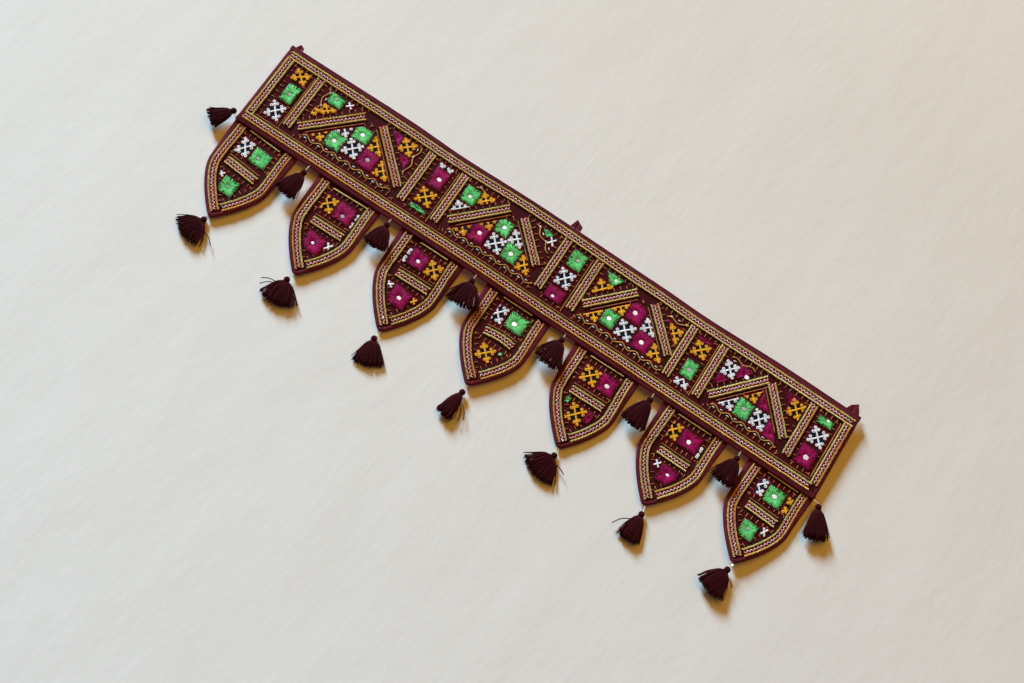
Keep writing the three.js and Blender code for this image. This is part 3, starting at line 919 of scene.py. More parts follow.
    def made(self, name, slot):
        """The gathered stitches as one piece, with a material for each thread."""
        form = stitch_form()
        local, faces = places(form), len(form.polygons)
        mesh = copies(form, len(self.rows))
        bpy.data.meshes.remove(form)
        mesh.name = name
        rows = np.array(self.rows)
        start = rows[:, 0:1] + 1j * rows[:, 1:2]
        whole = rows[:, 2:3] + 1j * rows[:, 3:4] - start
        half, lift, high, shade = rows[:, 4:5], rows[:, 5:6], rows[:, 6:7], rows[:, 7]
        run = np.abs(whole)
        t = (local[:, 2] + 1) / 2
        aside = half * local[:, 0]
        spot = start + whole * t + 1j * whole / run * aside
        out = lift + high * (1 + local[:, 1] - 0.5 * (np.abs(local[:, 2]) > 0.9))
        points = self.surface(spot.real, spot.imag, out)
        uv = np.stack([run * t, aside], -1)
        set_points(mesh, points.reshape(-1, 3), uv.reshape(-1, 2), np.repeat(shade, len(local)))
        names, index = np.unique(self.yarns, return_inverse=True)
        mesh.polygons.foreach_set("material_index", np.repeat(index, faces))
        piece(name, mesh, [dark_ground() if y == "ground_dark" else yarn(y) for y in names])


def dark_ground():
    return fabric_material("dark maroon thread", yarn_group(), srgb(30, 10, 16), PLY)


def mirror_piece(name, mirrors, surface, seed):
    """Hand-cut mirrors: flat chips of five to seven sides with worn edges."""
    draw = random.Random(seed)
    chips = []
    for at, size, bright in mirrors:
        bm = bmesh.new()
        sides = draw.choice((5, 6, 6, 7))
        turned = Matrix.Rotation(draw.uniform(0, math.tau), 4, "Z")
        bmesh.ops.create_cone(
            bm, cap_ends=True, segments=sides, radius1=size / 2, radius2=size / 2, depth=0.8,
            matrix=turned,
        )
        long = draw.uniform(1.0, 1.15)
        bmesh.ops.scale(bm, vec=(long, 1 / long, 1), verts=bm.verts)
        rim = [e for e in bm.edges if all(v.co.z > 0 for v in e.verts)]
        bmesh.ops.bevel(bm, geom=rim, offset=0.25, segments=1, profile=0.5, affect="EDGES", material=-1)
        lean_x, lean_z = draw.uniform(-0.05, 0.05), draw.uniform(-0.05, 0.05)
        mesh = made_mesh(name, bm, False)
        local = places(mesh)
        out = FACE + 0.95 + local[:, 2] + lean_x * local[:, 0] + lean_z * local[:, 1]
        points = surface(at.real + local[:, 0], at.imag + local[:, 1], out)
        set_points(mesh, points, local[:, :2], np.full(len(local), 0.5))
        # Painted reflection: the bright finish for a mirror that catches the light, the dark one for the rest.
        finish_all(mesh, 0 if bright else 1)
        chips.append(mesh)
    piece(name, joined(name, chips, False), mirror_materials())


# The band

Patch = namedtuple("Patch", "name x z wide high mirror form", defaults=(None, "square"))
# A mirror is x, z, its width, and whether it catches the light: True paints it a bright reflection, False a dark
# one.
STRAIGHT_FIELDS = [
    (rectangle(-484.5, -448, -119, -21), [
        Patch("orange", -465, -36, 25, 20),
        Patch("green", -462.5, -67.5, 21, 31, (-462, -68, 6.0, False)),
        Patch("white", -464.5, -101, 25, 28),
    ]),
    (rectangle(-230, -189, -119, -21), [
        Patch("white", -208, -30.5, 24, 7.5, None, "lower"),
        Patch("magenta", -208, -51.5, 24, 33, (-206.5, -52, 7.5, True)),
        Patch("orange", -208, -86, 27, 27),
        Patch("green", -207.5, -107.5, 28, 7.5),
    ]),
    (rectangle(9.5, 48, -119, -20), [
        Patch("green", 29.5, -41, 25, 29, (30.8, -39.6, 6.5, False)),
        Patch("white", 29, -73.5, 26, 29),
        Patch("magenta", 30, -101.5, 28, 21, (28.3, -106, 5.0, True)),
    ]),
    (rectangle(236, 271, -119, -22), [
        Patch("magenta", 253.5, -32.5, 25, 5.5),
        Patch("orange", 253.5, -48.5, 25, 25),
        Patch("green", 254.3, -83.5, 21.5, 28.5, (254.2, -84.2, 7.5, False)),
        Patch("white", 254, -107, 22, 13.5, None, "upper"),
    ]),
    (rectangle(446, 482, -120, -22), [
        Patch("green", 463, -37.5, 25, 13, (465.8, -33.5, 5.0, True)),
        Patch("white", 464.5, -63, 26.5, 28),
        Patch("magenta", 464.3, -96, 26.5, 32, (464, -97.8, 9.0, True)),
    ]),
]

# Under each pair of slants: the field left of them, the one between, and the one right of them.
SLANTED_FIELDS = [
    (
        [
            Patch("green", -400.5, -37.5, 25, 19, (-402, -35, 5.0, False)),
            Patch("white", -379.5, -32.5, 11, 10),
            Patch("orange", -402, -58, 22, 17),
            Patch("orange", -416, -69, 9, 13, None, "left"),
        ],
        [
            Patch("white", -366.5, -66, 24, 24),
            Patch("green", -338.5, -59.5, 28, 24, (-338, -60, 7.0, True)),
            Patch("orange", -309.5, -62, 25, 25),
            Patch("orange", -394, -91, 25, 26),
            Patch("green", -366, -90, 27, 28, (-367, -91, 7.0, True)),
            Patch("white", -338, -86, 26, 28),
            Patch("magenta", -309, -87.5, 28, 29, (-310, -88, 7.0, False)),
            Patch("orange", -281.5, -89, 25, 26),
        ],
        [
            Patch("magenta", -294, -39, 20, 24),
            Patch("orange", -273.5, -38, 24, 23),
            Patch("magenta", -270, -64.5, 24, 25),
        ],
    ),
    (
        [
            Patch("green", -154.5, -46, 25, 28, (-154.6, -48, 6.5, True)),
            Patch("orange", -131, -40, 20, 20),
            Patch("white", -156, -72, 22, 20),
        ],
        [
            Patch("orange", -113, -65, 25, 24),
            Patch("green", -86.8, -60.5, 24, 26, (-86.3, -60, 7.0, True)),
            Patch("white", -61, -64, 24, 22),
            Patch("orange", -139.5, -93, 24, 25),
            Patch("magenta", -114, -88.5, 27, 30, (-112.3, -87.7, 7.5, True)),
            Patch("white", -84, -88, 27, 27),
            Patch("green", -56.8, -88, 26, 28, (-57, -88.6, 7.5, True)),
            Patch("orange", -31, -91, 23, 25),
        ],
        [
            Patch("green", -28, -32.5, 21, 12, None, "wedge"),
            Patch("white", -17, -37.5, 12, 15),
        ],
    ),
    (
        [
            Patch("green", 91, -36.5, 32, 21, (94, -33, 5.5, True), "wedge"),
            Patch("orange", 84, -55, 24, 26),
        ],
        [
            Patch("orange", 119.5, -62, 22, 22),
            Patch("magenta", 146, -57.5, 27, 31, (143.3, -58, 8.0, True)),
            Patch("white", 173, -64, 25, 22),
            Patch("orange", 90.5, -93, 24, 22),
            Patch("green", 116, -87, 24, 27, (115.4, -87, 7.5, True)),
            Patch("white", 144.5, -89, 28, 28),
            Patch("magenta", 175, -89, 28, 31, (173.7, -90.4, 7.5, True)),
            Patch("orange", 201, -91, 24, 23),
        ],
        [
            Patch("orange", 207, -51, 24, 24),
            Patch("magenta", 193, -39.5, 6, 5),
        ],
    ),
    (
        [
            Patch("white", 304.5, -49.5, 22, 24),
            Patch("magenta", 327, -46, 22, 25, (331, -46, 7.0, True)),
            Patch("magenta", 303, -72, 18, 20),
        ],
        [
            Patch("orange", 350, -62, 24, 22),
            Patch("magenta", 376, -62, 22, 25),
            Patch("white", 325.5, -90, 24, 26),
            Patch("green", 351, -89.5, 26, 29, (351.3, -88.3, 7.5, False)),
            Patch("white", 378, -89.5, 25, 28),
            Patch("magenta", 404, -94, 26, 25),
        ],
        [
            Patch("magenta", 404, -37, 25, 15, None, "wedge"),
            Patch("orange", 417, -46, 25, 27),
        ],
    ),
]

PANEL_TOP, PANEL_LOW = -21.0, -119.5


def panel_fields(k):
    """The three fields that a pair of slants parts, and the room in each for squares."""
    slants = SLANTS[k]
    left, right = DIVIDERS[2 * k], DIVIDERS[2 * k + 1]
    whole = rectangle(left + 6.5, right - 6.5, PANEL_LOW, PANEL_TOP)
    rise = towards(slants.left_foot, slants.left_head)
    fall = towards(slants.right_head, slants.right_foot)

    def parted(outer, inner_left, inner_right):
        left_part = cut(whole, slants.left_foot + 1j * rise * outer, 1j * rise)
        right_part = cut(whole, slants.right_foot + 1j * fall * outer, 1j * fall)
        middle = cut(whole, slants.left_foot - 1j * rise * inner_left, -1j * rise)
        middle = cut(middle, slants.right_foot - 1j * fall * inner_right, -1j * fall)
        return left_part, middle, right_part

    return parted(6.6, 11.2, 11.2), [drawn_in(room, 2.5) for room in parted(10.6, 12.3, 9.8)]


def frame_runs():
    """Centre lines of the braid round the band, in the order top, low, left, right."""
    xs = np.linspace(-499, 499, 60)
    top = [complex(x, along("braid", x)) for x in xs]
    side = 493.0
    head = [float(along("braid", x)) for x in (-side, side)]
    return [
        top,
        [complex(x, -131.0) for x in np.linspace(-499, 490, 60)],
        [complex(-side, z) for z in np.linspace(head[0] - 5.4, -125, 12)],
        [complex(side, z) for z in np.linspace(-125, head[1] - 5.4, 12)],
    ]


def band_runs():
    """Every braid of the band as (centre line, (cord on its left, cord on its right))."""
    top, low, left, right = frame_runs()
    plain, warm = ("khaki", "khaki"), ("khaki", "gold")
    runs = [(top, plain), (low, warm), (left, plain), (right, warm)]
    for k, (x, foot) in enumerate(zip(DIVIDERS, DIVIDER_LOW)):
        head = float(along("braid", x)) - 8
        runs.append(([complex(x, z) for z in np.linspace(foot, head, 8)], warm if k == 7 else plain))
    for k, slants in enumerate(SLANTS):
        for foot, head in (slants[:2], slants[2:]):
            runs.append((spaced(foot, head, 9), ("gold", "khaki") if k == 0 else plain))
    return runs


TAPE = [(-4.2, 1.4), (-3.8, 1.95), (0.0, 2.05), (3.8, 1.95), (4.2, 1.4), (0.0, 1.3)]


def tape_piece(name, runs, surface, nodes):
    """The crimson tapes under the zigzags."""
    meshes = [swept(name, line, TAPE, surface) for line in runs]
    return piece(name, joined(name, meshes), [cloth("crimson")], nodes)


INSET = 1.9  # from a binding's fold to the edge of the cloth in it


def ground_cloth(name, node, columns, rows, place):
    """A doubled cloth, with its worked ground in front and its lining behind."""
    mesh = sheet_mesh(name, columns, rows, place)
    made = piece(name, mesh, [cloth("ground"), cloth("lining")], [node])
    thicken(made, 2 * CLOTH)
    return made


def make_band_fabric():
    def place(u, v):
        x = -HALF + INSET + u * (LENGTH - 2 * INSET)
        z = -HEIGHT + INSET + v * (HEIGHT - 2 * INSET)
        return on_band(x, z, 0 * x), np.stack([x, z], -1)

    return ground_cloth("band_fabric", "band_cloth", 220, 32, place)


def fold_section(wide):
    """A folded strip round a cloth's edge: front wall, fold, back wall, and the slot for the cloth."""
    return [
        (wide, 1.45), (wide, 2.1), (wide - 0.9, 2.32), (4.0, 2.2), (1.4, 2.05), (0.25, 1.0), (0.0, 0.0),
        (0.25, -1.0), (1.4, -1.9), (4.0, -2.0), (wide, -1.95), (wide, -1.42),
        (1.7, -1.4), (1.2, 0.0), (1.7, 1.4),
    ]


def creased(surface):
    """A cloth's surface with the small waves that a binding takes between its stitches."""

    def place(x, z, out):
        ripple = 0.16 * (np.sin((x + z) * math.tau / 4.6) + np.sin((x - 0.7 * z) * 1.7 + 1))
        return surface(x, z, out + np.sign(out) * ripple * (np.abs(out) > 1.5))

    return place


def bind(name, node, path, wide, surface):
    """Folds a strip round a cloth's edge. wide is how far it comes onto the cloth's face."""
    mesh = swept(name, path, fold_section(wide), creased(surface))
    piece(name, mesh, [cloth("binding")], [node])


def make_bindings():
    xs = np.linspace(HALF, -HALF, 337)
    top_wide = -along("braid", xs) - 6.6
    head, foot = -top_wide[0] - 0.4, -HEIGHT + 7.6
    for node, path, wide in (
        ("binding_top", [complex(x, 0) for x in xs], top_wide),
        ("binding_lower", [complex(x, -HEIGHT) for x in xs[::-1]], 7.2),
        ("binding_left", [complex(-HALF, z) for z in np.linspace(head, foot, 44)], 5.4),
        ("binding_right", [complex(HALF, z) for z in np.linspace(foot, head, 44)], 5.4),
    ):
        bind(node + "_fold", node, path, wide, on_band)
    seam = Needlework(creased(on_band), 5)
    for z in (-1.8, -HEIGHT + 5.6):
        seam.running([complex(x, z) for x in xs[::6]], "binding", 2.4, 1.3, 0.22, 0.85)
    edge = [complex(x, float(along("braid", x)) + 8.2) for x in np.arange(-455, -40, 6.0)]
    seam.running(edge, "black", 3.6, 2.2, 0.55, 1.0)
    seam.made("band_seams", "binding")


def make_band_braid():
    runs = band_runs()
    tape_piece("band_braid_tape", [line for line, _ in runs], on_band, ["band_braid"])
    work = Needlework(on_band, 11)
    for line, names in runs:
        work.braid(line, names)
    work.made("band_braid_cords", "braid")


def make_band_lines():
    """The squares and their mirrors, the ticks, the wavy lines and the lines inside the braid."""
    work, patches = Needlework(on_band, 21), Needlework(on_band, 22)
    fields = [
        (field, patches.patchwork(rows, drawn_in(field, 1.0))) for field, rows in STRAIGHT_FIELDS
    ]
    for k, groups in enumerate(SLANTED_FIELDS):
        for number, (field, room, rows) in enumerate(zip(*panel_fields(k), groups)):
            fields.append((field, patches.patchwork(rows, room)))
            if number == 1:
                make_wave(work, field)
        for (foot, head), side in ((SLANTS[k][:2], -1), (SLANTS[k][2:], 1)):
            way = towards(foot, head)
            off = 1j * way * side * 10.5
            work.stem([foot + way * 10 + off, head - way * 3 + off], "rust", 0.52, 0.1, 0.5)
    for field, taken in fields:
        work.ticks(field, taken)
    side_waves(work)
    reach, low, inner = 484, -121.6, -124.3
    work.stem([complex(-reach, low), complex(reach, low)], "rust", 0.56, 0.15, 0.5, 2.1)
    # Black thread just inside the low braid, also painted shade along its upper edge.
    work.stem([complex(-reach, inner), complex(reach, inner)], "black", 0.7, 0.0, 0.4, 2.4)
    for x in (-446, -187, 49.6, 272.5, reach):
        work.stem([complex(x, -26), complex(x, -118)], "rust", 0.56, 0.15, 0.5, 2.1)
    work.made("band_lines", "braid")
    patches.made("band_patches", "ground")
    mirror_piece("band_mirrors", patches.mirrors, on_band, 31)


def make_wave(work, field):
    """The wavy line under a panel's squares, with pale dashes in its hollows."""
    z, wave = -109.4, 24.0
    base = trimmed(drawn_in(field, 2), complex(-FAR, z + 1), complex(FAR, z + 1))
    start, end = (complex(q.real, z) for q in base)
    # Black threads above and below the wavy line, also painted shade along the raised wave.
    for off in (-3.4j, 3.2j):
        work.stem([start + off, end + off], "black", 0.9, -0.1, 0.35, 2.4)
    work.stem(wavy(start, end, wave, 2.6), "ochre", 0.72, 0.2, 0.55)
    for k in range(int((end.real - start.real) / (wave / 2))):
        at = complex(start.real + wave / 4 + k * wave / 2, z + (-1.4 if k % 2 == 0 else 1.4))
        work.stitch(at - 2.4, at + 2.4, "white", 0.7, 0.15, 0.45)
    work.stem([start + 4.6j, end + 4.6j], "crimson", 0.5, 0.1, 0.4, 2.4)


# Short wavy lines beside the slants: start, end, wave, and which side the pale dashes lie on.
SIDE_WAVES = [
    (-418 - 26j, -418.5 - 62j, 24, 1),
    (-255.5 - 26j, -255 - 78j, 26, -1),
    (-50 - 27j, -13 - 55j, 24, 1),
    (185 - 34j, 219 - 31j, 26, 1),
    (298 - 31j, 338 - 31j, 26, -1),
    (-155 - 30j, -138 - 29j, 26, 1),
]


def side_waves(work):
    for start, end, wave, side in SIDE_WAVES:
        way = towards(start, end)
        work.stem(wavy(start, end, wave, 2.0), "ochre", 0.7, 0.15, 0.5)
        for at, _ in paced([start, end], wave / 2):
            spot = at + 1j * way * side * 3.4
            beside = spot + 1j * way * side * 1.3
            work.stitch(spot - way * 2.4, spot + way * 2.4, "white", 0.68, 0.1, 0.4)
            work.stitch(beside - way * 3.4, beside + way * 3.4, "black", 0.6, 0.0, 0.3)


# Folded hanging tabs: outline corners from the left foot round to the right one, and the crease's ends.
TABS = {
    "tab_left": ([-498.6 - 0.7j, -486.2 - 0.7j, -488 + 4j, -494.5 + 6.5j], (-492.5 - 0.7j, -493 + 5.4j)),
    "tab_middle": ([-7.8 + 1.3j, 9.8 + 1.3j, 9.4 + 8.5j, -3.5 + 15j], (0.5 + 1.3j, 1.5 + 11.5j)),
    "tab_right": ([479.2 - 0.2j, 500.8 - 0.2j, 492.5 + 14.5j, 483 + 7.5j], (489 - 0.2j, 487.5 + 10.5j)),
}


def make_tabs():
    for name, (corners, crease) in TABS.items():
        low_left, low_right, high_right, high_left = corners
        way = towards(*crease)

        def place(u, v):
            low = low_left + (low_right - low_left) * u
            high = high_left + (high_right - high_left) * u
            spot = low + (high - low) * v
            x, z = spot.real, spot.imag
            off = ((spot - crease[0]) * np.conj(way)).imag
            out = 0.9 - 1.1 * np.exp(-((off / 1.5) ** 2)) + 0.3 * np.sin(z * 0.9 + x * 0.5)
            return np.stack([x, band_depth(x, 0) - out, z], -1) * MM, np.stack([x, z], -1)

        label = name + "_fold"
        mesh = sheet_mesh(label, 16, 12, place)
        made = piece(label, mesh, [cloth("binding")] * 2, [name])
        thicken(made, 1.5)
        bevel = made.modifiers.new("Soft edge", "BEVEL")
        bevel.width = 0.45 * MM
        bevel.segments = 2


# Pennants

Loose = namedtuple("Loose", "upper lower")
PENNANT_PATCHES = [
    Loose(
        [Patch("white", -467.5, -173, 21, 28), Patch("green", -439.5, -175, 29, 26, (-441.8, -176, 6.0, False))],
        [Patch("green", -452, -236, 26, 26, (-452, -236, 5.0, False)), Patch("white", -471, -225, 8, 8)],
    ),
    Loose(
        [
            Patch("orange", -317, -175, 19, 26, None, "left"),
            Patch("magenta", -291, -174, 30, 28, (-291.3, -179, 6.5, False)),
            Patch("white", -272.3, -176, 5.5, 25, None, "right"),
        ],
        [Patch("magenta", -302.5, -236, 31, 29, (-303.3, -236.4, 5.0, True)), Patch("white", -281, -229, 11, 14)],
    ),
    Loose(
        [
            Patch("white", -180.5, -174, 5.5, 24, None, "left"),
            Patch("magenta", -163, -171.3, 28.5, 27, (-162.3, -173.3, 6.0, True)),
            Patch("orange", -136.3, -171.5, 23, 24),
        ],
        [
            Patch("magenta", -154.5, -233, 30, 30, (-154.6, -234, 7.0, True)),
            Patch("orange", -134, -226, 8, 11), Patch("white", -177, -224, 12, 8),
        ],
    ),
    Loose(
        [
            Patch("white", -20, -171, 17, 29, None, "left"),
            Patch("green", 7.3, -169.5, 30, 28, (5, -171.8, 8.5, True)),
        ],
        [Patch("orange", -6.5, -231, 24, 24), Patch("green", 12.3, -221, 5, 5)],
    ),
    Loose(
        [Patch("orange", 138, -173.5, 27, 27), Patch("magenta", 166.4, -172, 28, 28, (166.4, -173.3, 7.0, True))],
        [
            Patch("green", 129.5, -221.5, 6, 9), Patch("orange", 150, -233, 26, 29),
            Patch("magenta", 169, -227, 9, 19),
        ],
    ),
    Loose(
        [
            Patch("orange", 284, -173, 17.5, 27, None, "left"),
            Patch("magenta", 310.5, -174, 32, 26, (309, -175.5, 7.0, True)),
            Patch("white", 329.3, -180, 5, 18, None, "right"),
        ],
        [Patch("white", 287, -227, 10, 11), Patch("magenta", 308, -235, 27.5, 27, (307.6, -233, 5.0, True))],
    ),
    Loose(
        [
            Patch("white", 432, -171.3, 14, 27, None, "left"),
            Patch("green", 455, -173.5, 29, 27, (454.6, -172.7, 8.0, True)),
            Patch("orange", 477, -173.5, 8.5, 26, None, "right"),
        ],
        [Patch("green", 445.5, -236, 25, 26, (445, -233.6, 5.5, False)), Patch("white", 467, -224.5, 8, 13)],
    ),
]


def narrowing(z):
    """From 0 at a pennant's top to 1 at its shoulder."""
    return smooth((-150 - z) / 62)


def pennant_side(p, sign, heights, gap=0.0):
    """A line down one side of a pennant, along the middle of its braid or a gap further in."""
    zs = np.array(heights)
    edge = pennant_axis(p, zs) + sign * pennant_half(p, zs)
    slope = np.gradient(edge, zs)
    inward = -sign * (14.6 - 3.0 * narrowing(zs) + gap) / np.hypot(1, slope)
    return (edge + inward + 1j * (zs - inward * slope)).tolist()


def pennant_edge(p):
    """A pennant's outline from its top left corner round its point to its top right one."""
    point = p.tip_z + TIP_RISE
    heights = np.append(
        np.linspace(PENNANT_TOP, SHOULDER, 18),
        SHOULDER + (point - SHOULDER) * np.sin(np.linspace(0, math.pi / 2, 26)[1:]),
    )
    axis, half = pennant_axis(p, heights), pennant_half(p, heights)
    left, right = axis - half + 1j * heights, axis + half + 1j * heights
    u = np.linspace(-0.8, 0.8, 9)
    blunt = p.tip_x + (right[-1].real - p.tip_x) * u + 1j * (p.tip_z + TIP_RISE * u * u)
    return np.concatenate([left, blunt, right[::-1]])


def make_pennant(k):
    p, bars, patches = PENNANTS[k], BARS[k], PENNANT_PATCHES[k]
    surface, label = on_pennant(p), f"pennant_{k + 1}"

    def place(u, v):
        low, top = p.tip_z + 2.5, PENNANT_TOP - 0.5
        z = low + v * (top - low)
        x = pennant_axis(p, z) + (2 * u - 1) * (pennant_half(p, z) - INSET)
        return surface(x, z, 0 * x), np.stack([x, z], -1)

    ground_cloth(label + "_fabric", label + "_cloth", 26, 40, place)
    edge = pennant_edge(p)
    bind(label + "_fold", label + "_binding", edge, 8.8 - 2.9 * narrowing(edge.imag), surface)

    runs = []
    heights = np.append(np.linspace(-146.5, SHOULDER, 12), np.linspace(SHOULDER - 4, p.tip_z + 3, 22))
    for sign, stop in ((-1, -2.5), (1, 5.6)):
        line = pennant_side(p, sign, heights)
        line = [q for q in line if sign * (q.real - pennant_axis(p, q.imag)) > stop]
        runs.append(line if sign > 0 else line[::-1])
    bar = spaced(bars.left, bars.right, 7)
    if k == 3:
        bar = [q + 2.6j * math.sin(math.pi * t) for q, t in zip(bar, np.linspace(0, 1, 7))]
    tape_piece(label + "_tape", runs + [bar], surface, [label + "_braid", label + "_bar"])

    work = Needlework(surface, 100 + k)
    hues = [("khaki", "gold"), ("gold", "khaki"), ("khaki", "khaki")]
    for number, line in enumerate(runs):
        work.braid(line, hues[(k + number) % 3])
    work.braid(bar, ("khaki", "khaki"))
    top = [bars.top_left, bars.top_right]
    work.stem(top, "khaki", 0.8, 0.4, 0.8, 1.8)
    # Black thread under the top cord, also painted shade below it.
    work.stem(top, "black", 0.6, 0.0, 0.4, 2.4, 1, -2.6)
    work.stem([q + 9.9j for q in bar], "rust", 0.56, 0.1, 0.5)

    fields = pennant_fields(p, bars)
    taken = [work.patchwork(rows, drawn_in(field, 1.0)) for rows, field in zip(patches, fields)]
    for field, shapes in zip(fields, taken):
        work.ticks(field, shapes, 8.6)
    work.made(label + "_needlework", "braid")
    mirror_piece(label + "_mirrors", work.mirrors, surface, 200 + k)


def pennant_fields(p, bars):
    """The upper and the lower field inside a pennant's braids, as convex outlines."""
    gap = 7.4
    left, right = (pennant_side(p, sign, [-170, -200], gap) for sign in (-1, 1))
    low_left, low_right = (pennant_side(p, sign, [-222, -262], gap) for sign in (-1, 1))
    ends = (bars.left.imag, bars.right.imag)
    upper = rectangle(left[0].real, right[0].real, max(ends) + 11, -150.5)
    lower = rectangle(left[1].real, right[1].real, -275, min(ends) - 7.5)
    lower = cut(lower, low_left[0], 1j * (low_left[1] - low_left[0]))
    lower = cut(lower, low_right[0], -1j * (low_right[1] - low_right[0]))
    return upper, lower


# Tassels

Tassel = namedtuple("Tassel", "node x z turn spread length strays")
TASSELS = [
    Tassel("tassel_side_1", -513.5, -137, -36, 20, 38, ()),
    Tassel("tassel_side_2", -374, -157, -8, 20, 45, ()),
    Tassel("tassel_side_3", -230, -154, 3, 25, 40, ()),
    Tassel("tassel_side_4", -81, -154, 8, 33, 43, ()),
    Tassel("tassel_side_5", 75, -153.5, -2, 27, 45, ((-40, 32),)),
    Tassel("tassel_side_6", 229, -155.5, -7, 21, 48, ()),
    Tassel("tassel_side_7", 379, -157, -4, 25, 44, ((-33, 46),)),
    Tassel("tassel_side_8", 515.5, -150, 24, 20, 49, ((47, 47),)),
    Tassel("tassel_tip_1", -451, -296, -18, 40, 38, ((52, 40),)),
    Tassel("tassel_tip_2", -302, -302, 10, 38, 41, ((-62, 36), (-48, 38))),
    Tassel("tassel_tip_3", -150.5, -303, 21, 29, 42, ()),
    Tassel("tassel_tip_4", -2.5, -297.5, -7, 15, 44, ((24, 42), (36, 40))),
    Tassel("tassel_tip_5", 156.5, -300, -15, 41, 41, ((62, 30), (34, 42))),
    Tassel("tassel_tip_6", 305.5, -301, 2, 21, 43, ((-42, 44),)),
    Tassel("tassel_tip_7", 448.5, -299.5, -14, 30, 43, ((46, 24),)),
]
HEAD = 4.2  # radius of a tassel's head
GOLDEN_ANGLE = 2.39996  # spreads strands evenly over a round section


def tassel_depth(row):
    """How far forward a tassel's head and the ends of its skirt hang."""
    if row.node.startswith("tassel_side"):
        return (-7.0, 1.0) if abs(row.x) > HALF else (-10.5, 2.2)
    p = PENNANTS[int(row.node[-1]) - 1]
    tip = on_pennant(p)(np.array([p.tip_x]), np.array([p.tip_z]), np.array([0.0]))
    return float(tip[0, 1]) / MM, 1.5


def in_tassel(row, lateral, down, depth, q):
    """Points of a tassel: across its axis, down it, back, and how far they share its lean forward."""
    y, forward = tassel_depth(row)
    turn = math.radians(row.turn)
    return np.stack([
        row.x + lateral * math.cos(turn) + down * math.sin(turn),
        y - forward * q + depth,
        row.z + lateral * math.sin(turn) - down * math.cos(turn),
    ], -1) * MM


def skirt_paths(row, draw, count, steps):
    """Strands that leave the neck in a bundle and open into a flat fan."""
    k = np.arange(count)
    spin, out = k * GOLDEN_ANGLE, np.sqrt((k + 0.5) / count)
    s, w = out * np.cos(spin), out * np.sin(spin)
    jitter = np.array([[draw.uniform(-1, 1) for _ in range(5)] for _ in range(count)])
    reach = row.length * (0.94 + 0.08 * jitter[:, 0])
    sine = math.sin(math.radians(row.spread))
    q = np.linspace(0, 1, steps)[None, :]
    r = 2.6 + (reach[:, None] - 2.6) * q
    fan = s[:, None] * (1 + 0.1 * jitter[:, 1:2] * q)
    lateral = fan * (2.4 + (1.1 * row.length * sine - 0.6) * q**0.6)
    lateral += 1.8 * jitter[:, 2:3] * np.sin(q * 6.5 + 6 * jitter[:, 3:4]) * q
    down = r * np.sqrt(np.maximum(0, 1 - (fan * sine) ** 2))
    depth = w[:, None] * (1.9 + 1.6 * np.sqrt(q))
    depth += 0.5 * jitter[:, 4:5] * q * np.sin(q * 5 + 3 * jitter[:, 1:2])
    return in_tassel(row, lateral, down, depth, q + 0 * lateral)


def head_paths(row, count, steps):
    """Yarn drawn over the ball of the head, from the neck to the crown."""
    turn = np.arange(count)[:, None] * math.tau / count
    polar = np.linspace(2.55, 0.25, steps)[None, :]
    radius = HEAD - 0.1
    ring = radius * np.sin(polar)
    down = -radius * np.cos(polar)
    return in_tassel(row, ring * np.cos(turn), down, 0.85 * ring * np.sin(turn), 0 * ring)


def wrap_path(row):
    """The thread wound round the neck."""
    radius, turns, low, high = 2.75, 3.5, 2.7, 4.9
    t = np.linspace(0, 1, 34)[None, :]
    spin = t * turns * math.tau
    down = low + (high - low) * t
    return in_tassel(row, radius * np.cos(spin), down, 0.85 * radius * np.sin(spin), 0 * t)


def stray_path(row, turn, reach, steps):
    """A strand that has slipped out of the skirt and bends away to one side."""
    q = np.linspace(0, 1, steps)[None, :]
    side = 1 if turn > row.turn else -1
    arch = side * reach * 0.1 * np.sin(q * math.pi)
    bend = np.sin(np.minimum(1, q * 1.6) * math.pi / 2) * math.radians(turn - row.turn)
    down = 2.5 + q * (reach - 2.5) * np.cos(bend)
    return in_tassel(row, q * reach * np.sin(bend) + arch, down, -1 + 0 * q, q)


def make_tassel(row, seed):
    draw = random.Random(seed)
    thick = sizes().yarn / 2
    count, steps = sizes().strands, 7
    skirt = skirt_paths(row, draw, count, steps)
    shades = [draw.random() for _ in range(count)]
    taper = np.broadcast_to(np.linspace(1.05, 0.82, steps), (count, steps))
    meshes = [strands(skirt, thick * taper, shades)]
    crown = head_paths(row, 18, 6)
    tones = [draw.random() for _ in crown]
    meshes.append(strands(crown, np.full(crown.shape[:2], 0.75 * MM), tones))
    wrap = wrap_path(row)
    meshes.append(strands(wrap, np.full(wrap.shape[:2], 0.5 * MM), [0.4]))
    for turn, reach in row.strays:
        stray = stray_path(row, turn, reach, steps)
        meshes.append(strands(stray, np.full((1, steps), thick), [draw.random()]))

    def core(x, y, z):
        return in_tassel(row, 3.9 * x, 3.9 * z, 3.3 * y, 0 * x)

    meshes.append(ball_mesh(10, 8, 1, core, 0.2))
    label = row.node + "_yarn"
    piece(label, joined(label, meshes), [yarn("yarn")], [row.node])


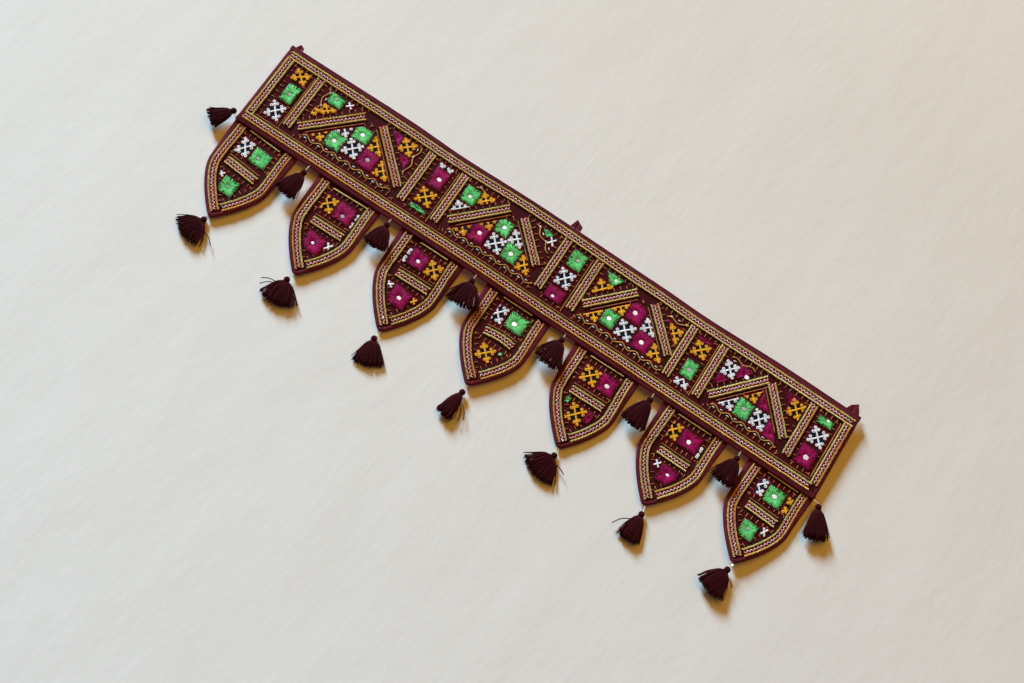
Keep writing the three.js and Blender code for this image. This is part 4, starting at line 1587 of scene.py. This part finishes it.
# Threads from the pennants' points: thread, from the point sideways, to the head sideways, radius.
Leg = namedtuple("Leg", "number name top low radius")
LEGS = [
    Leg(1, "binding", 0.4, 0.4, 0.55), Leg(1, "binding", -0.8, -0.9, 0.5),
    Leg(2, "cream", -1.6, -1.2, 0.45), Leg(2, "gold", 1.4, 1.5, 0.4),
    Leg(3, "cream", -2.6, -1.4, 0.5), Leg(3, "cream", 2.4, 1.4, 0.45),
    Leg(4, "gold", -0.6, -0.6, 0.45), Leg(4, "cream", 0.7, 0.5, 0.4),
    Leg(5, "cream", -1.4, -0.8, 0.6), Leg(5, "cream", 0.4, 0.9, 0.55),
    Leg(6, "gold", -2.6, -1.2, 0.4), Leg(6, "white", 0.8, 0.6, 0.75),
    Leg(7, "gold", -1.8, -0.9, 0.5), Leg(7, "cream", 1.2, 0.8, 0.4),
]
# Small glass beads: the cloth's pennant, x, z and radius.
BEADS = [(3, -156.8, -271, 1.7), (5, 155.2, -275.5, 1.5), (7, 451, -291, 2.2), (4, 12.5, -221, 1.2)]


def make_tip_threads():
    """The threads between each pennant's point and its tassel's head."""
    tips = {row.node: row for row in TASSELS}
    t = np.linspace(0, 1, 7)
    for number, p in enumerate(PENNANTS, 1):
        node, row = f"thread_{number}", tips[f"tassel_tip_{number}"]
        y = tassel_depth(row)[0]
        turn = math.radians(row.turn)
        crown = complex(row.x - HEAD * math.sin(turn), row.z + HEAD * math.cos(turn))
        legs, meshes = [leg for leg in LEGS if leg.number == number], []
        names = sorted({leg.name for leg in legs})
        for leg in legs:
            start, end = complex(p.tip_x + leg.top, p.tip_z + TIP_RISE), crown + leg.low - 1.2j
            line = start + (end - start) * t + np.sign(leg.top) * 0.7 * np.sin(math.pi * t)
            path = np.stack([line.real, y - 0.4 + 0 * t, line.imag], -1)[None] * MM
            mesh = strands(path, np.full((1, 7), leg.radius * MM), [0.6], 6)
            finish_all(mesh, names.index(leg.name))
            meshes.append(mesh)
        label = node + "_legs"
        piece(label, joined(label, meshes), [yarn(name) for name in names], [node])


def make_stems():
    """The short threads that hold the tassels of the band's lower edge."""
    for row in TASSELS[:8]:
        y = tassel_depth(row)[0]
        edge = min(HALF - 0.5, max(-HALF + 0.5, row.x))
        start = on_band(np.array([edge]), np.array([-HEIGHT + 1.0]), np.array([1.6]))[0]
        end = np.array([row.x, y - 1.0, row.z + HEAD * 0.8]) * MM
        t = np.linspace(0, 1, 6)[:, None]
        path = (start + (end - start) * t)[None]
        label = row.node + "_stem"
        mesh = strands(path, np.full((1, 6), 0.45 * MM), [0.7], 6)
        piece(label, mesh, [yarn("cream")])


def make_beads():
    beads = []
    for number, x, z, radius in BEADS:
        surface = on_pennant(PENNANTS[number - 1])
        beads.append(ball_mesh(14, 10, radius, lambda a, b, c: surface(x + a, z + c, 2.2 - b), 0.8))
    piece("beads", joined("beads", beads), [bead_material()])


def bead_material():
    made, tree = empty_material("milk glass")
    cloud = noise(tree, object_place(tree), 700.0)
    base = mixed(tree, cloud, (0.75, 0.77, 0.82, 1), (0.92, 0.93, 0.95, 1))
    principled(tree, Base_Color=base, Roughness=0.18)
    return made


# The room

def wall_material():
    """Painted plaster: trowel marks, small pits, painted light that turns it paler and cooler towards the bottom,
    and nothing at all from behind.
    """
    made, tree = empty_material("wall paint")
    add, times = sums(tree)
    place = object_place(tree)
    stretched = put(
        tree, "ShaderNodeMapping", Vector=place, Scale=(1.0, 1.0, 0.45), Rotation=(0, 0.5, 0)
    ).outputs[0]
    broad, fine = noise(tree, stretched, 9.0, 4.0), noise(tree, stretched, 140.0, 4.0)
    height = put(tree, "ShaderNodeSeparateXYZ", Vector=place).outputs[2]
    # Painted light: the height term turns the paint paler and cooler towards the bottom, and the broad noise adds
    # blotches of tone.
    slow_blend = add(maths(tree, "MULTIPLY_ADD", height, -0.77, 0.22), times(broad, 0.25))
    slow_blend = put(tree, "ShaderNodeClamp", Value=slow_blend).outputs[0]
    base = mixed(tree, slow_blend, (0.645, 0.622, 0.565, 1), (0.785, 0.795, 0.765, 1))
    rough = add(times(broad, 2.2), times(fine, 0.22))
    bump = put(tree, "ShaderNodeBump", Strength=0.4, Distance=0.002, Height=rough).outputs[0]
    paint = put(tree, "ShaderNodeBsdfPrincipled", Base_Color=base, Roughness=0.85, Normal=bump)
    clear = put(tree, "ShaderNodeBsdfTransparent")
    behind = put(tree, "ShaderNodeNewGeometry").outputs["Backfacing"]
    surface = either(tree, behind, paint.outputs[0], clear.outputs[0])
    put(tree, "ShaderNodeOutputMaterial", Surface=surface)
    return made


def floor_material():
    """Plain pale screed, dull and a little mottled."""
    made, tree = empty_material("floor screed")
    mottle = noise(tree, object_place(tree), 3.0, 5.0)
    base = mixed(tree, mottle, (0.42, 0.34, 0.28, 1), (0.48, 0.39, 0.32, 1))
    principled(tree, Base_Color=base, Roughness=0.6)
    return made


def stage_plane(name, wide, high, matrix, material):
    bm = bmesh.new()
    bmesh.ops.create_grid(bm, x_segments=1, y_segments=1, size=0.5)
    bmesh.ops.scale(bm, vec=(wide, high, 1), verts=bm.verts)
    bmesh.ops.transform(bm, matrix=matrix, verts=bm.verts)
    mesh = made_mesh(name, bm, False)
    mesh.materials.append(material)
    made = new_object(name, mesh)
    return made


def area_light(name, direction, distance, size, power, rgb):
    """A soft light in the given direction from the middle of the hanging."""
    data = bpy.data.lights.new(name, "AREA")
    data.shape = "DISK"
    data.size, data.energy, data.color = size, power, rgb
    made = new_object(name, data)
    way = Vector(direction).normalized()
    made.location = Vector((0.0, 0.0, -0.17)) + way * distance
    made.rotation_euler = way.to_track_quat("Z", "Y").to_euler()


def make_world():
    """Warm fill light for the room, and a plain pale backdrop beyond the wall."""
    world = bpy.data.worlds.new("room")
    world.use_nodes = True
    tree = world.node_tree
    tree.nodes.clear()
    fill = put(tree, "ShaderNodeBackground", Color=(1.0, 0.56, 0.22, 1), Strength=0.12)
    backdrop = put(tree, "ShaderNodeBackground", Color=(0.62, 0.60, 0.57, 1), Strength=1.0)
    seen = put(tree, "ShaderNodeLightPath").outputs["Is Camera Ray"]
    surface = either(tree, seen, fill.outputs[0], backdrop.outputs[0])
    put(tree, "ShaderNodeOutputWorld", Surface=surface)
    bpy.context.scene.world = world


def make_camera():
    """The photograph's viewpoint: from a little below, turned so that the band runs down to the right."""
    aim, distance = Vector((0.0158, 0.0, -0.194)), 1.6632
    yaw, pitch, lean, roll = (math.radians(a) for a in (-1.888, 11.027, 0.738, 33.1))
    ahead = Vector((math.sin(yaw) * math.cos(pitch), math.cos(yaw) * math.cos(pitch), math.sin(pitch)))
    level = Vector((math.cos(yaw), -math.sin(yaw), 0.0))
    above = level.cross(ahead)
    right = math.cos(lean) * level + math.sin(lean) * above
    up = -math.sin(lean) * level + math.cos(lean) * above
    turned_right = math.cos(roll) * right + math.sin(roll) * up
    turned_up = -math.sin(roll) * right + math.cos(roll) * up
    data = bpy.data.cameras.new("camera")
    data.sensor_width, data.lens = 36.0, 40.24
    made = new_object("camera", data)
    axes = Matrix((turned_right, turned_up, -ahead)).transposed()
    made.matrix_world = Matrix.Translation(aim - ahead * distance) @ axes.to_4x4()
    bpy.context.scene.camera = made


# Operators

class ToranOperator:
    """What the toran's operators share."""

    bl_options = {"REGISTER", "UNDO"}

    def execute(self, context):
        self.make()
        return {"FINISHED"}


class TORAN_OT_stage(ToranOperator, bpy.types.Operator):
    """Add the wall, the floor, the light and the camera"""

    bl_idname = "toran.stage"
    bl_label = "Stage"

    def make(self):
        upright = Matrix.Rotation(math.pi / 2 - sizes().lean, 4, "X")
        wall = stage_plane("wall", 9, 6, Matrix.Translation((0, sizes().wall, 0)) @ upright, wall_material())
        wall.visible_shadow = False
        low = Matrix.Translation((0, -3.0 + sizes().wall - sizes().floor * sizes().lean, -sizes().floor))
        floor = stage_plane("floor", 9, 6, low, floor_material())
        floor.visible_diffuse = False
        area_light("key", (-25, -11, 21), 13.0, 3.6, 4350, (0.56, 0.80, 1.0))
        area_light("lamp", (1, -14, 12), 5.0, 4.6, 125, (1.0, 0.45, 0.015))
        area_light("behind", (8, 20, 10), 2.6, 1.5, 75, (1.0, 0.97, 0.92))
        bpy.context.scene.view_settings.view_transform = "Standard"
        make_world()
        make_camera()


class TORAN_OT_band(ToranOperator, bpy.types.Operator):
    """Sew the band: ground cloth, lining, bindings and tabs"""

    bl_idname = "toran.band"
    bl_label = "Band"

    def make(self):
        fabric = make_band_fabric()
        make_bindings()
        make_tabs()


class TORAN_OT_braid(ToranOperator, bpy.types.Operator):
    """Couch the braid round the band and between its fields"""

    bl_idname = "toran.braid"
    bl_label = "Braid"

    def make(self):
        make_band_braid()


class TORAN_OT_patchwork(ToranOperator, bpy.types.Operator):
    """Work the band's squares, mirrors, wavy lines and ticks"""

    bl_idname = "toran.patchwork"
    bl_label = "Patchwork"

    def make(self):
        make_band_lines()


class TORAN_OT_pennants(ToranOperator, bpy.types.Operator):
    """Sew the pennants with their bindings, braids and squares"""

    bl_idname = "toran.pennants"
    bl_label = "Pennants"

    def make(self):
        for k, p in enumerate(PENNANTS):
            make_pennant(k)


class TORAN_OT_tassels(ToranOperator, bpy.types.Operator):
    """Tie the tassels' yarn and wrap their necks"""

    bl_idname = "toran.tassels"
    bl_label = "Tassels"

    def make(self):
        for k, row in enumerate(TASSELS):
            make_tassel(row, 300 + k)


class TORAN_OT_threads(ToranOperator, bpy.types.Operator):
    """Hang the tassels by their threads and add the beads"""

    bl_idname = "toran.threads"
    bl_label = "Threads and beads"

    def make(self):
        make_tip_threads()
        make_stems()
        make_beads()


OPERATORS = (
    TORAN_OT_stage, TORAN_OT_band, TORAN_OT_braid, TORAN_OT_patchwork, TORAN_OT_pennants,
    TORAN_OT_tassels, TORAN_OT_threads,
)


class TORAN_PT_sidebar(bpy.types.Panel):
    """Lists the toran's settings and the steps that make it."""

    bl_label = "Toran"
    bl_idname = "TORAN_PT_sidebar"
    bl_space_type = "VIEW_3D"
    bl_region_type = "UI"
    bl_category = "Toran"

    def draw(self, context):
        for group in (colours(), sizes()):
            for key in group.__annotations__:
                self.layout.prop(group, key)
        for operator in OPERATORS:
            self.layout.operator(operator.bl_idname)


CLASSES = (TORAN_PG_colours, TORAN_PG_sizes, *OPERATORS, TORAN_PT_sidebar)


def register():
    for item in CLASSES:
        bpy.utils.register_class(item)
    bpy.types.Scene.toran_colours = bpy.props.PointerProperty(type=TORAN_PG_colours)
    bpy.types.Scene.toran_sizes = bpy.props.PointerProperty(type=TORAN_PG_sizes)


def unregister():
    del bpy.types.Scene.toran_sizes
    del bpy.types.Scene.toran_colours
    for item in reversed(CLASSES):
        bpy.utils.unregister_class(item)


def main():
    register()
    for operator in OPERATORS:
        category, name = operator.bl_idname.split(".")
        getattr(getattr(bpy.ops, category), name)()


if __name__ == "__main__":
    main()
